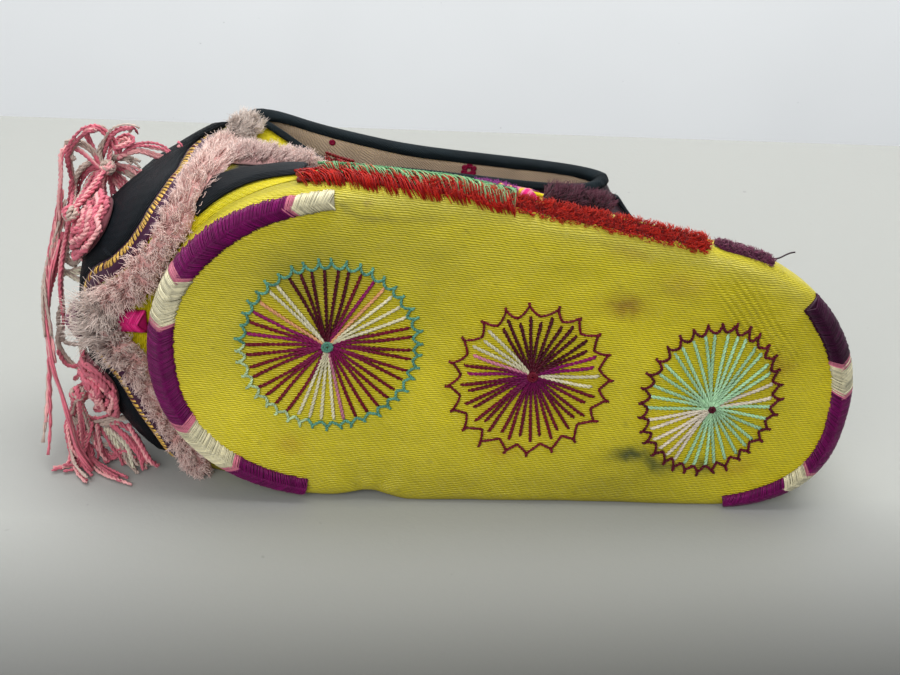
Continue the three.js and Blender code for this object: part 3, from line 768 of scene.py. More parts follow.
area_light("overhead_light", (0.05, 0.17, 0.95), (0, 0.05, 0), (0.9, 0.6), 8, (1, 0.995, 0.98))
area_light("front_fill", (-0.45, -0.95, 0.75), (0, 0, 0.03), (0.8, 0.6), 8, (1, 1, 1))
area_light("wall_light", (0, 0.25, 0.9), (0, 0.7, 0.1), (1.6, 0.3), 5, (1, 1, 1))
world = bpy.data.worlds.new("world")
world.use_nodes = True
world.node_tree.nodes["Background"].inputs[0].default_value = (0.93, 0.96, 1.0, 1)
world.node_tree.nodes["Background"].inputs[1].default_value = 0.5
bpy.context.scene.world = world
bpy.context.scene.view_settings.view_transform = "Standard"


# Sole: one padded silk cushion with rounded edges
SOLE_SIDES = 480
FACE_RINGS = 52

# Rings of the side, from the seam down: height and inset
SIDE_RINGS = (
    (SOLE_PAD, 3.5), (SOLE_PAD - 0.1, 1.4), (SOLE_PAD - 0.5, 0.45), (SOLE_PAD - 1.3, 0.06),
    (SOLE_PAD - 2.4, 0.0), (3.2, 0.0),
)

# Stains and worn places, and at the end three broad dull patches over the part towards the toe that
# are painted shade: s, w, two reaches, turn, strength, colour
SOLE_MARKS = (
    (91.5, 18.2, 4.2, 2.4, 0.0, 0.75, rgb(146, 96, 14)),
    (90.4, 29.5, 4.5, 1.4, -0.2, 0.35, rgb(166, 120, 40)),
    (101.7, 23.8, 5.0, 3.0, 0.0, 0.35, rgb(150, 104, 24)),
    (125.4, 8.0, 3.0, 2.4, 0.0, 0.4, rgb(168, 110, 12)),
    (121.9, -16.7, 4.0, 2.4, 0.3, 0.35, rgb(172, 116, 14)),
    (29.7, -20.6, 3.0, 2.2, 0.0, 0.3, rgb(186, 120, 12)),
    (72.2, -17.1, 3.5, 2.5, 0.0, 0.28, rgb(186, 130, 14)),
    (79.6, 11.7, 6.0, 4.0, 0.0, 0.12, rgb(170, 130, 24)),
    (65.5, -27.6, 6.0, 3.0, 0.0, 0.15, rgb(150, 130, 14)),
    (99.2, -15.3, 4.0, 1.6, 0.25, 0.95, rgb(58, 70, 24)),
    (104.5, -17.0, 3.0, 2.0, -0.4, 0.85, rgb(66, 78, 28)),
    (108.0, -17.6, 2.4, 1.1, 0.0, 0.55, rgb(84, 92, 32)),
    (115.0, -16.6, 2.3, 2.0, 0.0, 0.75, rgb(70, 80, 30)),
    (35.5, 32.0, 2.6, 0.8, -0.6, 0.45, rgb(120, 112, 52)),
    (40.5, 31.0, 5.0, 0.7, 0.05, 0.5, rgb(112, 104, 50)),
    (50.0, 31.8, 4.0, 0.7, 0.0, 0.3, rgb(124, 116, 52)),
    (38.9, 33.3, 0.45, 0.7, 0.0, 0.7, rgb(110, 28, 10)),
    # painted shade: broad dull patches over the part towards the toe
    (30.0, 22.0, 16.0, 7.0, 0.35, 0.35, rgb(132, 124, 28)),
    (56.0, 25.0, 20.0, 6.0, 0.0, 0.25, rgb(146, 138, 34)),
    (16.0, 6.0, 7.0, 9.0, 0.0, 0.12, rgb(150, 140, 40)),
)


# Painted light and shade over broad parts of the silk, lighter where the light falls and darker
# where it is shaded: s, w, two reaches and the change of tone
SOLE_PAINTED_LIGHT_AND_SHADE = (
    (22.0, -14.0, 16.0, 14.0, 0.16),
    (58.0, -6.0, 20.0, 12.0, 0.12),
    (86.0, 10.0, 12.0, 10.0, 0.1),
    (30.0, 17.0, 12.0, 6.0, -0.22),
    (66.0, -29.0, 26.0, 8.0, -0.3),
    (98.0, -24.0, 16.0, 9.0, -0.32),
    (129.0, 15.0, 14.0, 8.0, -0.1),
    (124.0, 4.0, 10.0, 16.0, -0.1),
)


def sole_tint(s, w, inset, height):
    """Silk colour over the sole: faded and stained in places, with painted light and shade in broad
    patches and over the heel's ridges, a painted highlight along the upper edge, painted shade on
    the side towards the toe, and darker along the edge of the lower side.
    """
    cloud = lattice(s / 17, w / 13, 11) * 0.6 + lattice(s / 6, w / 5, 12) * 0.4
    tint = blend(YELLOW, OLIVE, np.clip(0.35 + 0.3 * cloud, 0, 1)[..., None])
    # painted light: a brighter, warmer yellow over the lower part towards the toe
    tint = blend(tint, rgb(214, 198, 34), 0.25 * bell(s, w, 30, -16, 34, 12)[..., None])
    fray_s = s + 0.9 * lattice(s / 1.3, w / 1.1, 13)
    fray_w = w + 0.7 * lattice(s / 1.2, w / 1.4, 14)
    for at_s, at_w, reach_s, reach_w, turn, strength, colour in SOLE_MARKS:
        mask = strength * bell(fray_s, fray_w, at_s, at_w, reach_s, reach_w, turn)
        tint = blend(tint, colour, mask[..., None])
    # painted highlight: a pale strip along the rounded upper edge, where it faces the light
    painted_highlight = 0.4 * np.exp(-((inset - 2.0) / 2.4) ** 2) * np.clip((w - 14) / 12, 0, 1)
    tint = blend(tint, rgb(206, 196, 92), painted_highlight[..., None])
    # painted light and shade from the broad patches
    shade = sum(change * bell(s, w, at_s, at_w, reach_s, reach_w)
                for at_s, at_w, reach_s, reach_w, change in SOLE_PAINTED_LIGHT_AND_SHADE)
    # painted light and shade on the heel's ridges, lighter on their crests
    shade = shade + 0.16 * heel_ridges(s, w)
    # painted shade: the sole's side towards the toe made darker
    turned = np.clip((height - 1.5) / 1.5, 0, 1) * np.exp(-(s / 60) ** 4)
    tint = tint * ((1 + shade) * (1 - 0.3 * turned))[..., None]
    # darker along the edge of the lower side
    lower_edge_darkening = 0.35 * np.exp(-np.maximum(inset, 0) / 1.2) * np.clip(-w / 20, 0, 1)
    tint = blend(tint, rgb(112, 96, 24), lower_edge_darkening[..., None])
    specks = np.clip(lattice(s / 0.8, w / 0.8, 15) - 0.86, 0, 1) * 4
    return tint * (1 - 0.6 * specks[..., None])


def flat_cloth(x, y):
    """Where each point lies on its flat cloth, for the weave."""
    return np.stack([x, y, np.zeros_like(x)], -1)


def make_sole():
    u = np.arange(SOLE_SIDES) / SOLE_SIDES
    s_edge, w_edge = outline_point(u)
    middle_s, middle_w = spine_point(s_edge)
    reach = np.hypot(s_edge - middle_s, w_edge - middle_w)
    even = np.ones(SOLE_SIDES)
    rings = [(*inset_point(u, inset), inset * even, h * even) for h, inset in SIDE_RINGS]
    for keep in 1 - np.linspace(0, 1, FACE_RINGS) ** 1.15 * 0.985:
        s = middle_s + (s_edge - middle_s) * keep
        w = middle_w + (w_edge - middle_w) * keep
        inset = reach * (1 - keep)
        rings.append((s, w, inset, padded_height(s, w, inset)))
    s, w, inset, h = (np.stack([ring[k] for ring in rings], -1) for k in range(4))
    wavy = 0.22 * lattice(s / 4, h / 3 + w / 7, 21) * np.exp(-((h - 3.2) / 2.6) ** 2)
    away = rim_way(s_edge, w_edge)
    push = away[:, :1] * ALONG + away[:, 1:] * ACROSS
    points = place(s, w, h) + push[:, None] * wavy[..., None]
    count = len(rings)
    faces = [grid_faces(SOLE_SIDES, count, True)]
    for row in (0, count - 1):
        faces += cap_faces(SOLE_SIDES, count, row, row == 0)
    cloth = flat_cloth(s, w + np.maximum(h, 0) * np.sign(w))
    values = {"cloth": cloth, "tint": sole_tint(s, w, inset, h)}
    piece = make_piece("sole_cover", points, faces, silk, values, ["sole"])


make_sole()


# Upper: one slack wall, silk outside and printed twill inside
def loop_run(grid, row):
    """The distance round a closed grid along one of its rows."""
    steps = np.linalg.norm(np.diff(np.concatenate([grid, grid[:1]]), axis=0), axis=2)
    return np.cumsum(steps[:, row])[:, None]


def make_upper():
    columns, rows = 240, 44
    even = np.arange(columns) / columns
    u = (even - 0.4 * np.sin(2 * TAU * even) / (2 * TAU))[:, None] + np.zeros((1, rows))
    v = np.linspace(0, 1, rows)[None] + np.zeros((columns, 1))
    outer = wall_point(u, v, 0)
    points, front, back, sides = slab(outer, wall_point(u, v, -WALL), True)
    curve = wall_curve(u, v)
    run_u = loop_run(curve, rows // 2) + np.zeros((1, rows))
    run_v = run_length(curve)
    cloth = np.stack([flat_cloth(run_u, run_v),
                      flat_cloth(run_u + run_v * 0.6, run_u * 0.55 - run_v)])
    cloud = lattice(run_u / 9, run_v / 9, 31)[..., None]
    outside = blend(YELLOW * 0.92, OLIVE, np.clip(0.45 + 0.35 * cloud, 0, 1))
    # painted shade: the outside made darker close to the floor
    painted_floor_shade = np.clip((9 - outer[..., 2]) / 9, 0, 1)[..., None]
    outside = outside * (1 - 0.45 * painted_floor_shade)
    grubby = np.clip(0.5 + 0.5 * lattice(run_u / 8, run_v / 7, 32), 0, 1)[..., None]
    within = rgb(226, 198, 168) * (0.78 + 0.22 * grubby)
    # painted shade: the lining darker deeper in the shoe, down to 0.4 near the sole
    within = within * np.clip((v - 0.3) / 0.5, 0.4, 1)[..., None]
    # plum cloth from the middle of the upper side to the heel, and black cloth near the toe
    frayed = 0.003 * lattice(u * 160, v * 20, 33)
    plum = np.clip((u + frayed - 0.235) / 0.012, 0, 1) * np.clip((0.53 - u - frayed) / 0.012, 0, 1)
    plum = plum * np.clip((v + frayed * 3 - 0.1) / 0.03, 0, 1)
    black = np.clip((u + frayed - 0.096) / 0.008, 0, 1) * np.clip((0.165 - u) / 0.008, 0, 1)
    black = black * np.clip((v + frayed - 0.09) / 0.03, 0, 1) * np.clip((0.6 - v) / 0.04, 0, 1)
    for mask, dye in ((plum, rgb(50, 20, 34)), (black, rgb(20, 22, 26))):
        outside = blend(outside, dye, mask[..., None])
    indices = np.concatenate([np.zeros(len(front)), np.ones(len(back)), np.zeros(len(sides))])
    make_piece("upper_wall", points, [front, back, sides], [silk, lining],
               {"cloth": cloth, "tint": np.stack([outside, within])}, ["upper"],
               indices)


make_upper()


def make_insole():
    columns, rows = 240, 22
    u = np.arange(columns) / columns
    s_edge, w_edge = outline_point(u)
    middle_s, middle_w = spine_point(s_edge)
    reach = np.hypot(s_edge - middle_s, w_edge - middle_w)
    base_inset = SEAM_INSET + WALL + 0.9
    s, w = inset_point(u, base_inset)
    rings = [(s, w, np.full_like(s, SEAM_LEVEL))]
    for share in np.arange(rows) / (rows - 1):
        s, w = inset_point(u, base_inset + (reach * 0.985 - base_inset) * share)
        quilt = 0.12 * np.cos(TAU * w / 5) + 0.1 * lattice(s / 6, w / 6, 41)
        h = SEAM_LEVEL + 1.6 * min(1, 0.4 + share * 9) + quilt * min(1, share * 6)
        rings.append((s, w, h))
    s, w, h = (np.stack([ring[k] for ring in rings], -1) for k in range(3))
    grid = place(s, w, h, WALL + GAP)
    faces = [grid_faces(columns, rows + 1, True)]
    for row in (0, rows):
        faces += cap_faces(columns, rows + 1, row, row == 0)
    values = {"cloth": flat_cloth(s, w), "tint": np.broadcast_to(rgb(150, 128, 108), grid.shape)}
    make_piece("insole_pad", grid, faces, lining, values, ["insole"])


make_insole()


# Collar binding: a folded bias strip with a soft roll at its top
BINDING_THICK = 0.25
BINDING_DEEP = 1.5


def make_binding():
    columns = 420
    u = np.arange(columns) / columns
    out, inn = GAP + BINDING_THICK, -WALL - GAP - BINDING_THICK
    deep = BINDING_DEEP
    # the strip's section: millimetres below the wall's edge, and off the wall
    section = [(deep, GAP), (deep, out * 0.8), (deep - 0.2, out), (1.3, out + 0.1),
               (0.7, out + 0.12), (0.0, out + 0.05), (-0.4, out * 0.5), (-0.6, -0.3),
               (-0.65, -WALL / 2), (-0.6, -WALL + 0.3), (-0.4, -WALL - 0.4), (0.0, inn - 0.05),
               (0.6, inn - 0.12), (0.95, inn - 0.1), (1.1, inn), (1.2, inn * 0.93),
               (1.2, -WALL - GAP), (0.5, -WALL - GAP), (-0.1, -WALL / 2), (0.5, GAP)]
    down = np.array([p[0] for p in section])[None] + np.zeros((columns, 1))
    off = np.array([p[1] for p in section])[None] + np.zeros((columns, 1))
    uu = u[:, None] + np.zeros_like(down)
    below = 0.02
    run = np.linalg.norm(wall_curve(u, 1) - wall_curve(u, 1 - below), axis=-1)[:, None] / below
    deeper = 1 + 0.1 * lattice(uu * 30, 0 * uu, 53)
    v = 1 - down * np.where(down > 1, deeper, 1) / run
    rumple = 0.1 * lattice(uu * 90, down, 51) + 0.05 * np.sin(TAU * uu * 64) * (down > 1.5)
    off = off + np.where(off > 0, rumple, -rumple) * (np.abs(off + WALL / 2) > 1.4)
    point, outward = wall_frame(uu, v)
    point = point + outward * off[..., None]
    grid = place(point[..., 0], point[..., 1], point[..., 2])
    count = v.shape[1]
    i = np.arange(columns)[:, None]
    j = np.arange(count)[None]
    after, up = (i + 1) % columns, (j + 1) % count
    faces = np.stack([i * count + j, after * count + j, after * count + up, i * count + up], -1)
    run_u = loop_run(grid, 5) + np.zeros_like(v)
    run_v = run_length(grid)
    values = {"cloth": flat_cloth((run_u + run_v) * 0.7, (run_u - run_v) * 0.7),
              "tint": rgb(14, 25, 30) * (1 + 0.3 * lattice(run_u / 4, run_v / 2, 52)[..., None])}
    make_piece("collar_tape", grid, [faces.reshape(-1, 4)], binding_cloth, values,
               ["collar_binding"])


make_binding()


# Padded satin stitch along the edge of the sole
def arc_point(u, inset, lift):
    """A point off the sole's rounded edge, lifted along its own outward direction."""
    away = rim_way(*outline_point(u))
    s, w = inset_point(u, inset)
    slope = (edge_profile(inset + 0.05) - edge_profile(np.maximum(inset - 0.05, 0))) / 0.1
    turn = unit(np.stack([-slope, -np.ones_like(slope)], -1))
    s = s + away[..., 0] * turn[..., 0] * lift
    w = w + away[..., 1] * turn[..., 0] * lift
    return place(s, w, edge_profile(inset) + turn[..., 1] * lift, ARC_CLEAR)


def stitch_colours(breaks, u):
    """The colour of the stretch that each place in u falls in. Breaks run one way round."""
    starts = np.array([b[0] for b in breaks])
    way = 1 if starts[0] < starts[-1] else -1
    order = np.searchsorted(way * starts, way * u) - 1
    return np.stack([b[1] for b in breaks])[np.clip(order, 0, len(breaks) - 1)]


def satin_arc(name, stations, breaks, pad, seed):
    """Fishbone stitches between two insets. Stations are u, outer inset, inner inset."""
    rng = np.random.default_rng(seed)
    fine = spline(stations, np.linspace(0, 1, 600))
    length = run_length(arc_point(fine[:, 0], (fine[:, 1] + fine[:, 2]) / 2, 0))
    count = int(length[-1] / STITCH_PITCH)

    def row_at(at):
        return np.stack([np.interp(at, length, fine[:, k]) for k in range(3)], -1)

    # the padded ground under the stitches, in a darker copy of their colours: painted shade in the
    # gaps between stitches
    row = row_at(np.linspace(0, 1, 200) * length[-1])
    x = np.linspace(-1, 1, 13)
    inset = (row[:, 1:2] * (1 - x) + row[:, 2:3] * (1 + x)) / 2
    u = row[:, :1] + 0 * inset
    top = arc_point(u, inset, pad * dome(x, 2.4)[None] * 0.85 + 0.05)
    ground = np.repeat(stitch_colours(breaks, row[:, 0]) * 0.6, 13, axis=0)
    parts = [slab_part(top, arc_point(u, inset, -0.3 + 0 * inset), np.tile(ground, (2, 1)))]
    for side in (-1, 1):
        shift = 0.5 * (side > 0)
        at = (np.arange(count) + shift + rng.uniform(-0.15, 0.15, count)) * STITCH_PITCH
        k = np.linspace(0, 1, 7)[None]
        row = row_at(np.clip(at[:, None] + 1.7 * k - 0.4, 0, length[-1]))
        start = 1.02 + rng.uniform(-0.04, 0.14, count)[:, None]
        x = side * (start + (STITCH_END - start) * k)
        inset = (row[..., 1] * (1 - x) + row[..., 2] * (1 + x)) / 2
        lift = pad * dome(np.clip(x, -1, 1), 2.4) + 0.12 - 0.06 * (k > 0.9)
        lift = lift + rng.uniform(-0.05, 0.05, count)[:, None]
        paths = arc_point(row[..., 0], np.maximum(inset, 0), lift)
        colour = stitch_colours(breaks, row[:, 0, 0] + rng.uniform(-1, 1, count) * 0.0012)
        colour = colour * rng.uniform(0.7, 1.25, (count, 1))
        parts.append(tubes(paths, 0.2, 3, -INWARD, colour))
    joined_piece(name, parts, floss)


STITCH_PITCH = 0.3
STITCH_END = -0.22
ROSE = rgb(206, 120, 140)
satin_arc("toe_arc_stitches", (
    (0.1585, 1.0, 4.3), (0.139, 1.2, 4.8), (0.118, 0.9, 4.8), (0.095, 0.5, 4.9), (0.07, 0.2, 4.8),
    (0.05, 0.1, 4.6), (0.03, 0.1, 4.4), (0.01, 0.1, 4.7), (-0.012, 0.1, 5.1), (-0.035, 0.1, 5.2),
    (-0.058, 0.1, 5.2), (-0.08, 0.2, 5.2), (-0.102, 0.3, 5.2), (-0.13, 0.4, 5.0), (-0.161, 0.5, 4.6),
), (
    (0.16, CREAM), (0.1395, ROSE), (0.135, PURPLE), (0.054, ROSE), (0.049, CREAM), (0.016, ROSE),
    (0.012, PURPLE), (-0.061, ROSE), (-0.067, CREAM), (-0.107, ROSE), (-0.112, PURPLE),
), 0.8, 71)
satin_arc("heel_arc_stitches", (
    (0.402, 0.0, 3.4), (0.42, 0.0, 4.0), (0.45, 0.0, 4.3), (0.48, 0.0, 4.3), (0.5, 0.0, 4.3),
    (0.53, 0.0, 4.3), (0.555, 0.0, 4.4), (0.58, 0.1, 4.3), (0.605, 0.2, 3.8), (0.624, 0.2, 3.2),
), (
    (0.4, DARK_PURPLE), (0.4505, ROSE), (0.4535, CREAM), (0.476, ROSE), (0.478, PURPLE),
    (0.5405, ROSE), (0.543, CREAM), (0.5685, PURPLE),
), 0.75, 72)


# Radial medallions: spokes laid from a hub to a zigzag border, lengths in millimetres
SPOKE_COLOURS = {"M": MAROON, "D": NEAR_BLACK, "g": MAGENTA, "p": PEACH, "c": CREAM,
                 "m": MINT, "w": rgb(222, 210, 190), "r": BLOSSOM}
MEDALLIONS = (
    {"name": "medallion_toe", "hub": TOE_HUB, "centre": (35.1, 3.0), "radii": (17.7, 18.2),
     "spokes": "DDMgpcccMMMMMMMMMMMrccccMMMMMMMMgMgpccDDDD", "length": (0.92, 0.92),
     "teeth": 42, "inner": 0.935, "tick": 0.75, "hub_size": 1.0,
     "hub_tint": TEAL * 0.8, "border": 0.32,
     "edge": TEAL, "pale": (185, 262, PALE_MINT), "glow": MAGENTA},
    {"name": "medallion_middle", "hub": MIDDLE_HUB, "centre": (75.65, -0.5),
     "radii": (16.2, 16.9),
     "spokes": "DDDDDDDggccMMMMMMMMMMMMMMMMMMMgMrcccDDDD", "length": (0.86, 0.78),
     "teeth": 20, "inner": 0.87, "tick": 0.7, "hub_size": 0.95,
     "hub_tint": MAROON, "border": 0.34, "edge": MAROON, "pale": None, "glow": PURPLE},
    {"name": "medallion_heel", "hub": HEEL_HUB, "centre": (112.85, -0.9),
     "radii": (14.0, 17.3),
     "spokes": "mmmmmmmwwmmmmmmmmmmmwwwwwwmmmmmmmmmm", "length": (0.9, 0.9),
     "teeth": 32, "inner": 0.9, "tick": 0.75, "hub_size": 0.6,
     "hub_tint": NEAR_BLACK, "border": 0.34, "edge": NEAR_BLACK * 1.5, "pale": None,
     "glow": MINT},
)
SPOKE_POINTS = 32
SPOKE_THREAD = 0.42
SPOKE_TWIST = 1.9
BORDER_TWIST = 1.3
HUB_TURNS = 5


def make_medallion(spec, seed):
    rng = np.random.default_rng(seed)
    hub, centre, radii = (np.array(spec[k]) for k in ("hub", "centre", "radii"))
    count = len(spec["spokes"])
    angle = TAU * (np.arange(count) + rng.uniform(-0.14, 0.14, count)) / count
    ends = centre + radii * np.stack([np.sin(angle), np.cos(angle)], -1)
    share = np.where(np.arange(count) % 2, spec["length"][0], spec["length"][1])
    share = share + rng.uniform(-0.012, 0.012, count)
    ends = hub + (ends - hub) * share[:, None]
    k = np.linspace(0.02, 1, SPOKE_POINTS)
    line = hub + (ends - hub)[:, None] * k[None, :, None]
    side = np.stack([ends[:, 1] - hub[1], hub[0] - ends[:, 0]], -1)
    bend = rng.normal(0, 0.012, count)[:, None] * np.sin(math.pi * k)[None]
    line = line + side[:, None] * bend[..., None]
    radial = np.linalg.norm(line - hub, axis=-1)
    crowd = 1.15 * np.exp(-(radial / 3.2) ** 1.5)
    lift = 0.3 + crowd * (0.35 + 0.65 * rng.uniform(0, 1, count)[:, None])
    lift = lift - 0.45 * np.clip((k - 0.96) / 0.04, 0, 1)[None]
    paths = on_sole(line[..., 0], line[..., 1], lift)
    colour = np.stack([SPOKE_COLOURS[c] for c in spec["spokes"]])
    colour = colour * rng.uniform(0.85, 1.15, (count, 1))
    width = SPOKE_THREAD * (1 - 0.35 * np.exp(-radial / 2.5)) * np.ones((count, SPOKE_POINTS))
    # the dyed spokes turn to the glow's colour near the hub
    dyed = np.array([c in "Mg" for c in spec["spokes"]])
    near = 0.75 * np.exp(-(radial / 6.5) ** 2)[..., None] * dyed[:, None, None]
    parts = plied(paths, width, SPOKE_TWIST, -INWARD, 4, blend(colour[:, None], spec["glow"], near))
    # zigzag border: from valley to tip and back, with a tick beyond each tip
    teeth = spec["teeth"]
    tip_angle = TAU * (np.arange(teeth) + 0.5 + rng.uniform(-0.1, 0.1, teeth)) / teeth
    valley_angle = TAU * (np.arange(teeth) + rng.uniform(-0.1, 0.1, teeth)) / teeth
    reach = 1 + rng.uniform(-0.01, 0.012, teeth)

    def ringed(at, scale):
        scale = np.asarray(scale)[..., None]
        return centre + radii * np.stack([np.sin(at), np.cos(at)], -1) * scale

    tips = ringed(tip_angle, reach)
    valleys = ringed(valley_angle, spec["inner"] + rng.uniform(-0.01, 0.01, teeth))
    beyond = tips + unit(tips - centre) * spec["tick"]
    beyond = beyond + rng.normal(0, 0.16, beyond.shape)
    starts = np.concatenate([valleys, tips, tips])
    stops = np.concatenate([tips, np.roll(valleys, -1, 0), beyond])
    t = np.linspace(0, 1, 9)
    hop = starts[:, None] + (stops - starts)[:, None] * t[None, :, None]
    hop = hop - (hop - centre) * (0.012 * np.sin(math.pi * t)[None, :, None])
    lift = 0.12 + 0.3 * np.sin(math.pi * t)[None] + 0.05 * rng.uniform(0, 1, (len(hop), 1))
    path = on_sole(hop[..., 0], hop[..., 1], lift)
    tint = np.repeat(spec["edge"][None], len(path), 0)
    if spec["pale"]:
        pale_from, pale_to, pale_tint = spec["pale"]
        at = np.degrees(np.concatenate([valley_angle, tip_angle, tip_angle])) % 360
        tint[(at > pale_from) & (at < pale_to)] = pale_tint
    tint = tint * rng.uniform(0.75, 1.15, (len(path), 1))
    parts += plied(path, spec["border"], BORDER_TWIST, -INWARD, 4, tint)
    # hub: a small knot of wound thread
    t = np.linspace(0, 1, 120)
    spin = TAU * HUB_TURNS * t
    radius = spec["hub_size"] * (0.35 + 0.65 * np.abs(np.sin(3 * math.pi * t)))
    rise = 1.35 + 0.35 * np.sin(math.pi * t)
    knot = on_sole(hub[0] + radius * np.cos(spin), hub[1] + radius * np.sin(spin), rise)
    parts += plied(knot, 0.26, 1.1, -INWARD, 5, spec["hub_tint"])
    joined_piece(spec["name"], parts, floss)


for number, spec in enumerate(MEDALLIONS):
    make_medallion(spec, 80 + number)


# Strips on the wall, along a path in u and v
def measured(path):
    """The path's length in millimetres, and its shares at places along that length."""
    fine = np.linspace(0, 1, MEASURED_PLACES)
    length = run_length(side_surface(*beside(path, fine, np.zeros_like(fine)), GAP)[0])
    return length[-1], lambda mm: np.interp(mm, length, fine)


def side_surface(u, v, off):
    """Points and outward ways off the wall, or off the sole's side where v runs below the seam."""
    u, v, off = np.broadcast_arrays(u, v, off)
    kept_v = np.maximum(v, SEAM_V)
    depth = np.maximum(SEAM_V - v, 0) * SIDE_RUN
    rolled = np.maximum(depth - SOLE_PAD + 2, 0)
    s, w = outline_point(u)
    away = rim_way(s, w)
    out = off * np.exp(-rolled / 2) - 0.8 * rolled
    h = SOLE_PAD - depth + 0.4 * rolled - off * (1 - np.exp(-rolled / 2))
    rim = place(s + away[..., 0] * out, w + away[..., 1] * out, h, PILE_CLEAR)
    out_way = away[..., :1] * ALONG + away[..., 1:] * ACROSS - 0.4 * rolled[..., None] * INWARD
    share = np.clip(depth / 0.8, 0, 1)[..., None]
    points = blend(wall_point(u, kept_v, off), rim, share)
    return points, unit(blend(row_normal(u, kept_v), unit(out_way), share))


def on_path(path, t, x, off):
    """Points x millimetres to the left of a path and off the wall, and the outward way."""
    u, v = beside(path, *np.broadcast_arrays(t, x))
    return side_surface(u, np.minimum(v, 0.99), off)


def ribbon(path, t, x, off, tint):
    """A strip along a path, from just off the wall to its top."""
    return slab_part(on_path(path, t, x, off)[0], on_path(path, t, x, GAP * 0.6)[0], tint)


# Fur and plush: a lumpy ground with many fibres drawn into locks
LOCKS = 997


def lock_noise(x, y, seed):
    return 0.6 * lattice(x, y, seed) + 0.4 * lattice(x * 2.1, y * 2.3, seed + 1)


def pile_band(name, path, width, high, hairs, colours, nodes, slot, seed, lock=1.5, thick=0.1,
              curl=0.5, material=fur_hair, columns=150, comb=0.0, pale=None, widths=np.ones_like):
    """A band of pile on the wall. Colours are root, tip and stain, with the stain's share.

    Comb leans the hairs to the left of the path; pale is a share, its reach and a colour,
    where the hairs are longer; widths gives the band's width at shares of the path.
    """
    rng = np.random.default_rng(seed)
    length, share_at = measured(path)
    root, tip, stain, stain_share = colours

    def narrowed(mm):
        """Fading at the ends, ragged edges, and the band's width at places along it."""
        end = np.clip(np.minimum(mm, length - mm) / (0.4 * width), 0.05, 1) ** 0.5
        return end, 1 + 0.14 * lattice(mm / 2.2, mm * 0, seed + 3), widths(share_at(mm))

    def stained(mm, x):
        spots = lock_noise(mm / 3.0, x / 3.0, seed + 5) - 1 + 2 * stain_share
        return blend(root, stain, np.clip(spots, 0, 1)[..., None])

    def paleness(mm):
        return np.exp(-((share_at(mm) - pale[0]) / pale[1]) ** 2)

    mm = np.linspace(0, length, columns)
    x = np.linspace(-1, 1, 15)[None]
    ends, ragged, narrow = (k[:, None] for k in narrowed(mm))
    mm = mm[:, None]
    x_grid = x * (width / 2 * ragged * ends * narrow)
    lumps = 0.8 + 0.3 * lock_noise(mm / lock, x_grid / lock, seed)
    over = GAP + 0.62 * high * (dome(x, 2.2, 0.01) * ends) * lumps
    # painted shade under the hairs: the ground a little darker than the roots
    ground = (stained(mm, x_grid) * 0.95).reshape(-1, 3)
    parts = [slab_part(on_path(path, share_at(mm), x_grid, over)[0],
                       on_path(path, share_at(mm), x_grid, GAP * 0.5)[0], np.tile(ground, (2, 1)))]
    # fibres
    at = rng.uniform(0, length, hairs)
    across = rng.uniform(-1, 1, hairs)
    end, ragged, narrow = narrowed(at)
    offset = across * width / 2 * end * ragged * narrow
    crest = dome(across, 2.2, 0.02) * end
    over = GAP + 0.45 * high * crest
    start, normal = on_path(path, share_at(at), offset, over)
    ahead = on_path(path, share_at(np.clip(at + 0.3, 0, length)), offset, over)[0]
    tangent = unit(ahead - start + 1e-6)
    sideways = np.cross(normal, tangent)
    # hairs of one cell drift and gather together, as a lock
    cell = np.stack([np.floor(at / lock), np.floor(offset / lock)], -1)
    key = (cell[:, 0] * 127 + cell[:, 1] * 31).astype(int) % LOCKS
    drift = np.random.default_rng(seed + 7).normal(0, 1, (LOCKS, 2))
    within = np.stack([at / lock - cell[:, 0] - 0.5, offset / lock - cell[:, 1] - 0.5], -1)
    tall = high * (0.42 + 0.38 * crest) * rng.uniform(0.75, 1.2, hairs) * (0.4 + 0.6 * narrow)
    if pale:
        tall = tall * (1 + 1.9 * paleness(at))
    k = np.linspace(0, 1, 4)[None, :, None]
    splay = across[:, None] * 0.75 * sideways
    go = normal + splay * 0.9 + tangent * (0.35 + 0.35 * drift[key][:, :1]) + comb * sideways
    go = unit(go + sideways * 0.3 * drift[key][:, 1:] + rng.normal(0, 0.16, (hairs, 3)))
    gather = -(tangent * within[:, :1] + sideways * within[:, 1:]) * lock * 0.7
    spin = rng.uniform(0, TAU, hairs)[:, None, None] + 4.5 * k
    wave = (np.cos(spin) * tangent[:, None] + np.sin(spin) * sideways[:, None]) * curl * k
    paths = (start[:, None] + go[:, None] * tall[:, None, None] * k + gather[:, None] * k ** 1.5
             + wave)
    paths[..., 2] = np.maximum(paths[..., 2], PILE_CLEAR)
    radius = thick * np.array([1.0, 0.95, 0.75, 0.3])[None] * rng.uniform(0.8, 1.25, (hairs, 1))
    low = stained(at, offset)
    tips = np.broadcast_to(tip, low.shape)
    if pale:
        near = paleness(at)[:, None]
        low = blend(low, pale[2] * 0.7, near)
        tips = blend(tips, pale[2], near)
    colour = blend(low[:, None], tips[:, None], k ** 0.8)
    colour = colour * rng.uniform(0.8, 1.12, hairs)[:, None, None]
    parts.append(tubes(paths, radius, 3, normal, colour))
    joined_piece(name, parts, material, nodes)


FUR_PATH = (
    (-0.108, 0.58), (-0.12, 0.36), (-0.111, 0.145), (-0.088, 0.048), (-0.054, 0.03),
    (-0.026, 0.06), (-0.004, 0.18), (0.015, 0.1), (0.037, 0.055), (0.06, 0.07), (0.079, 0.18),
    (0.09, 0.39), (0.088, 0.62), (0.078, 0.8),
)
FUR_COLOURS = (rgb(214, 164, 158), rgb(240, 214, 204), rgb(140, 84, 104), 0.16)


def fur_share(t):
    """Width of the fur band along its path: narrower on the floor side."""
    return np.interp(t, (0, 0.12, 0.36, 0.5, 1), (0.8, 0.8, 0.85, 1, 1))


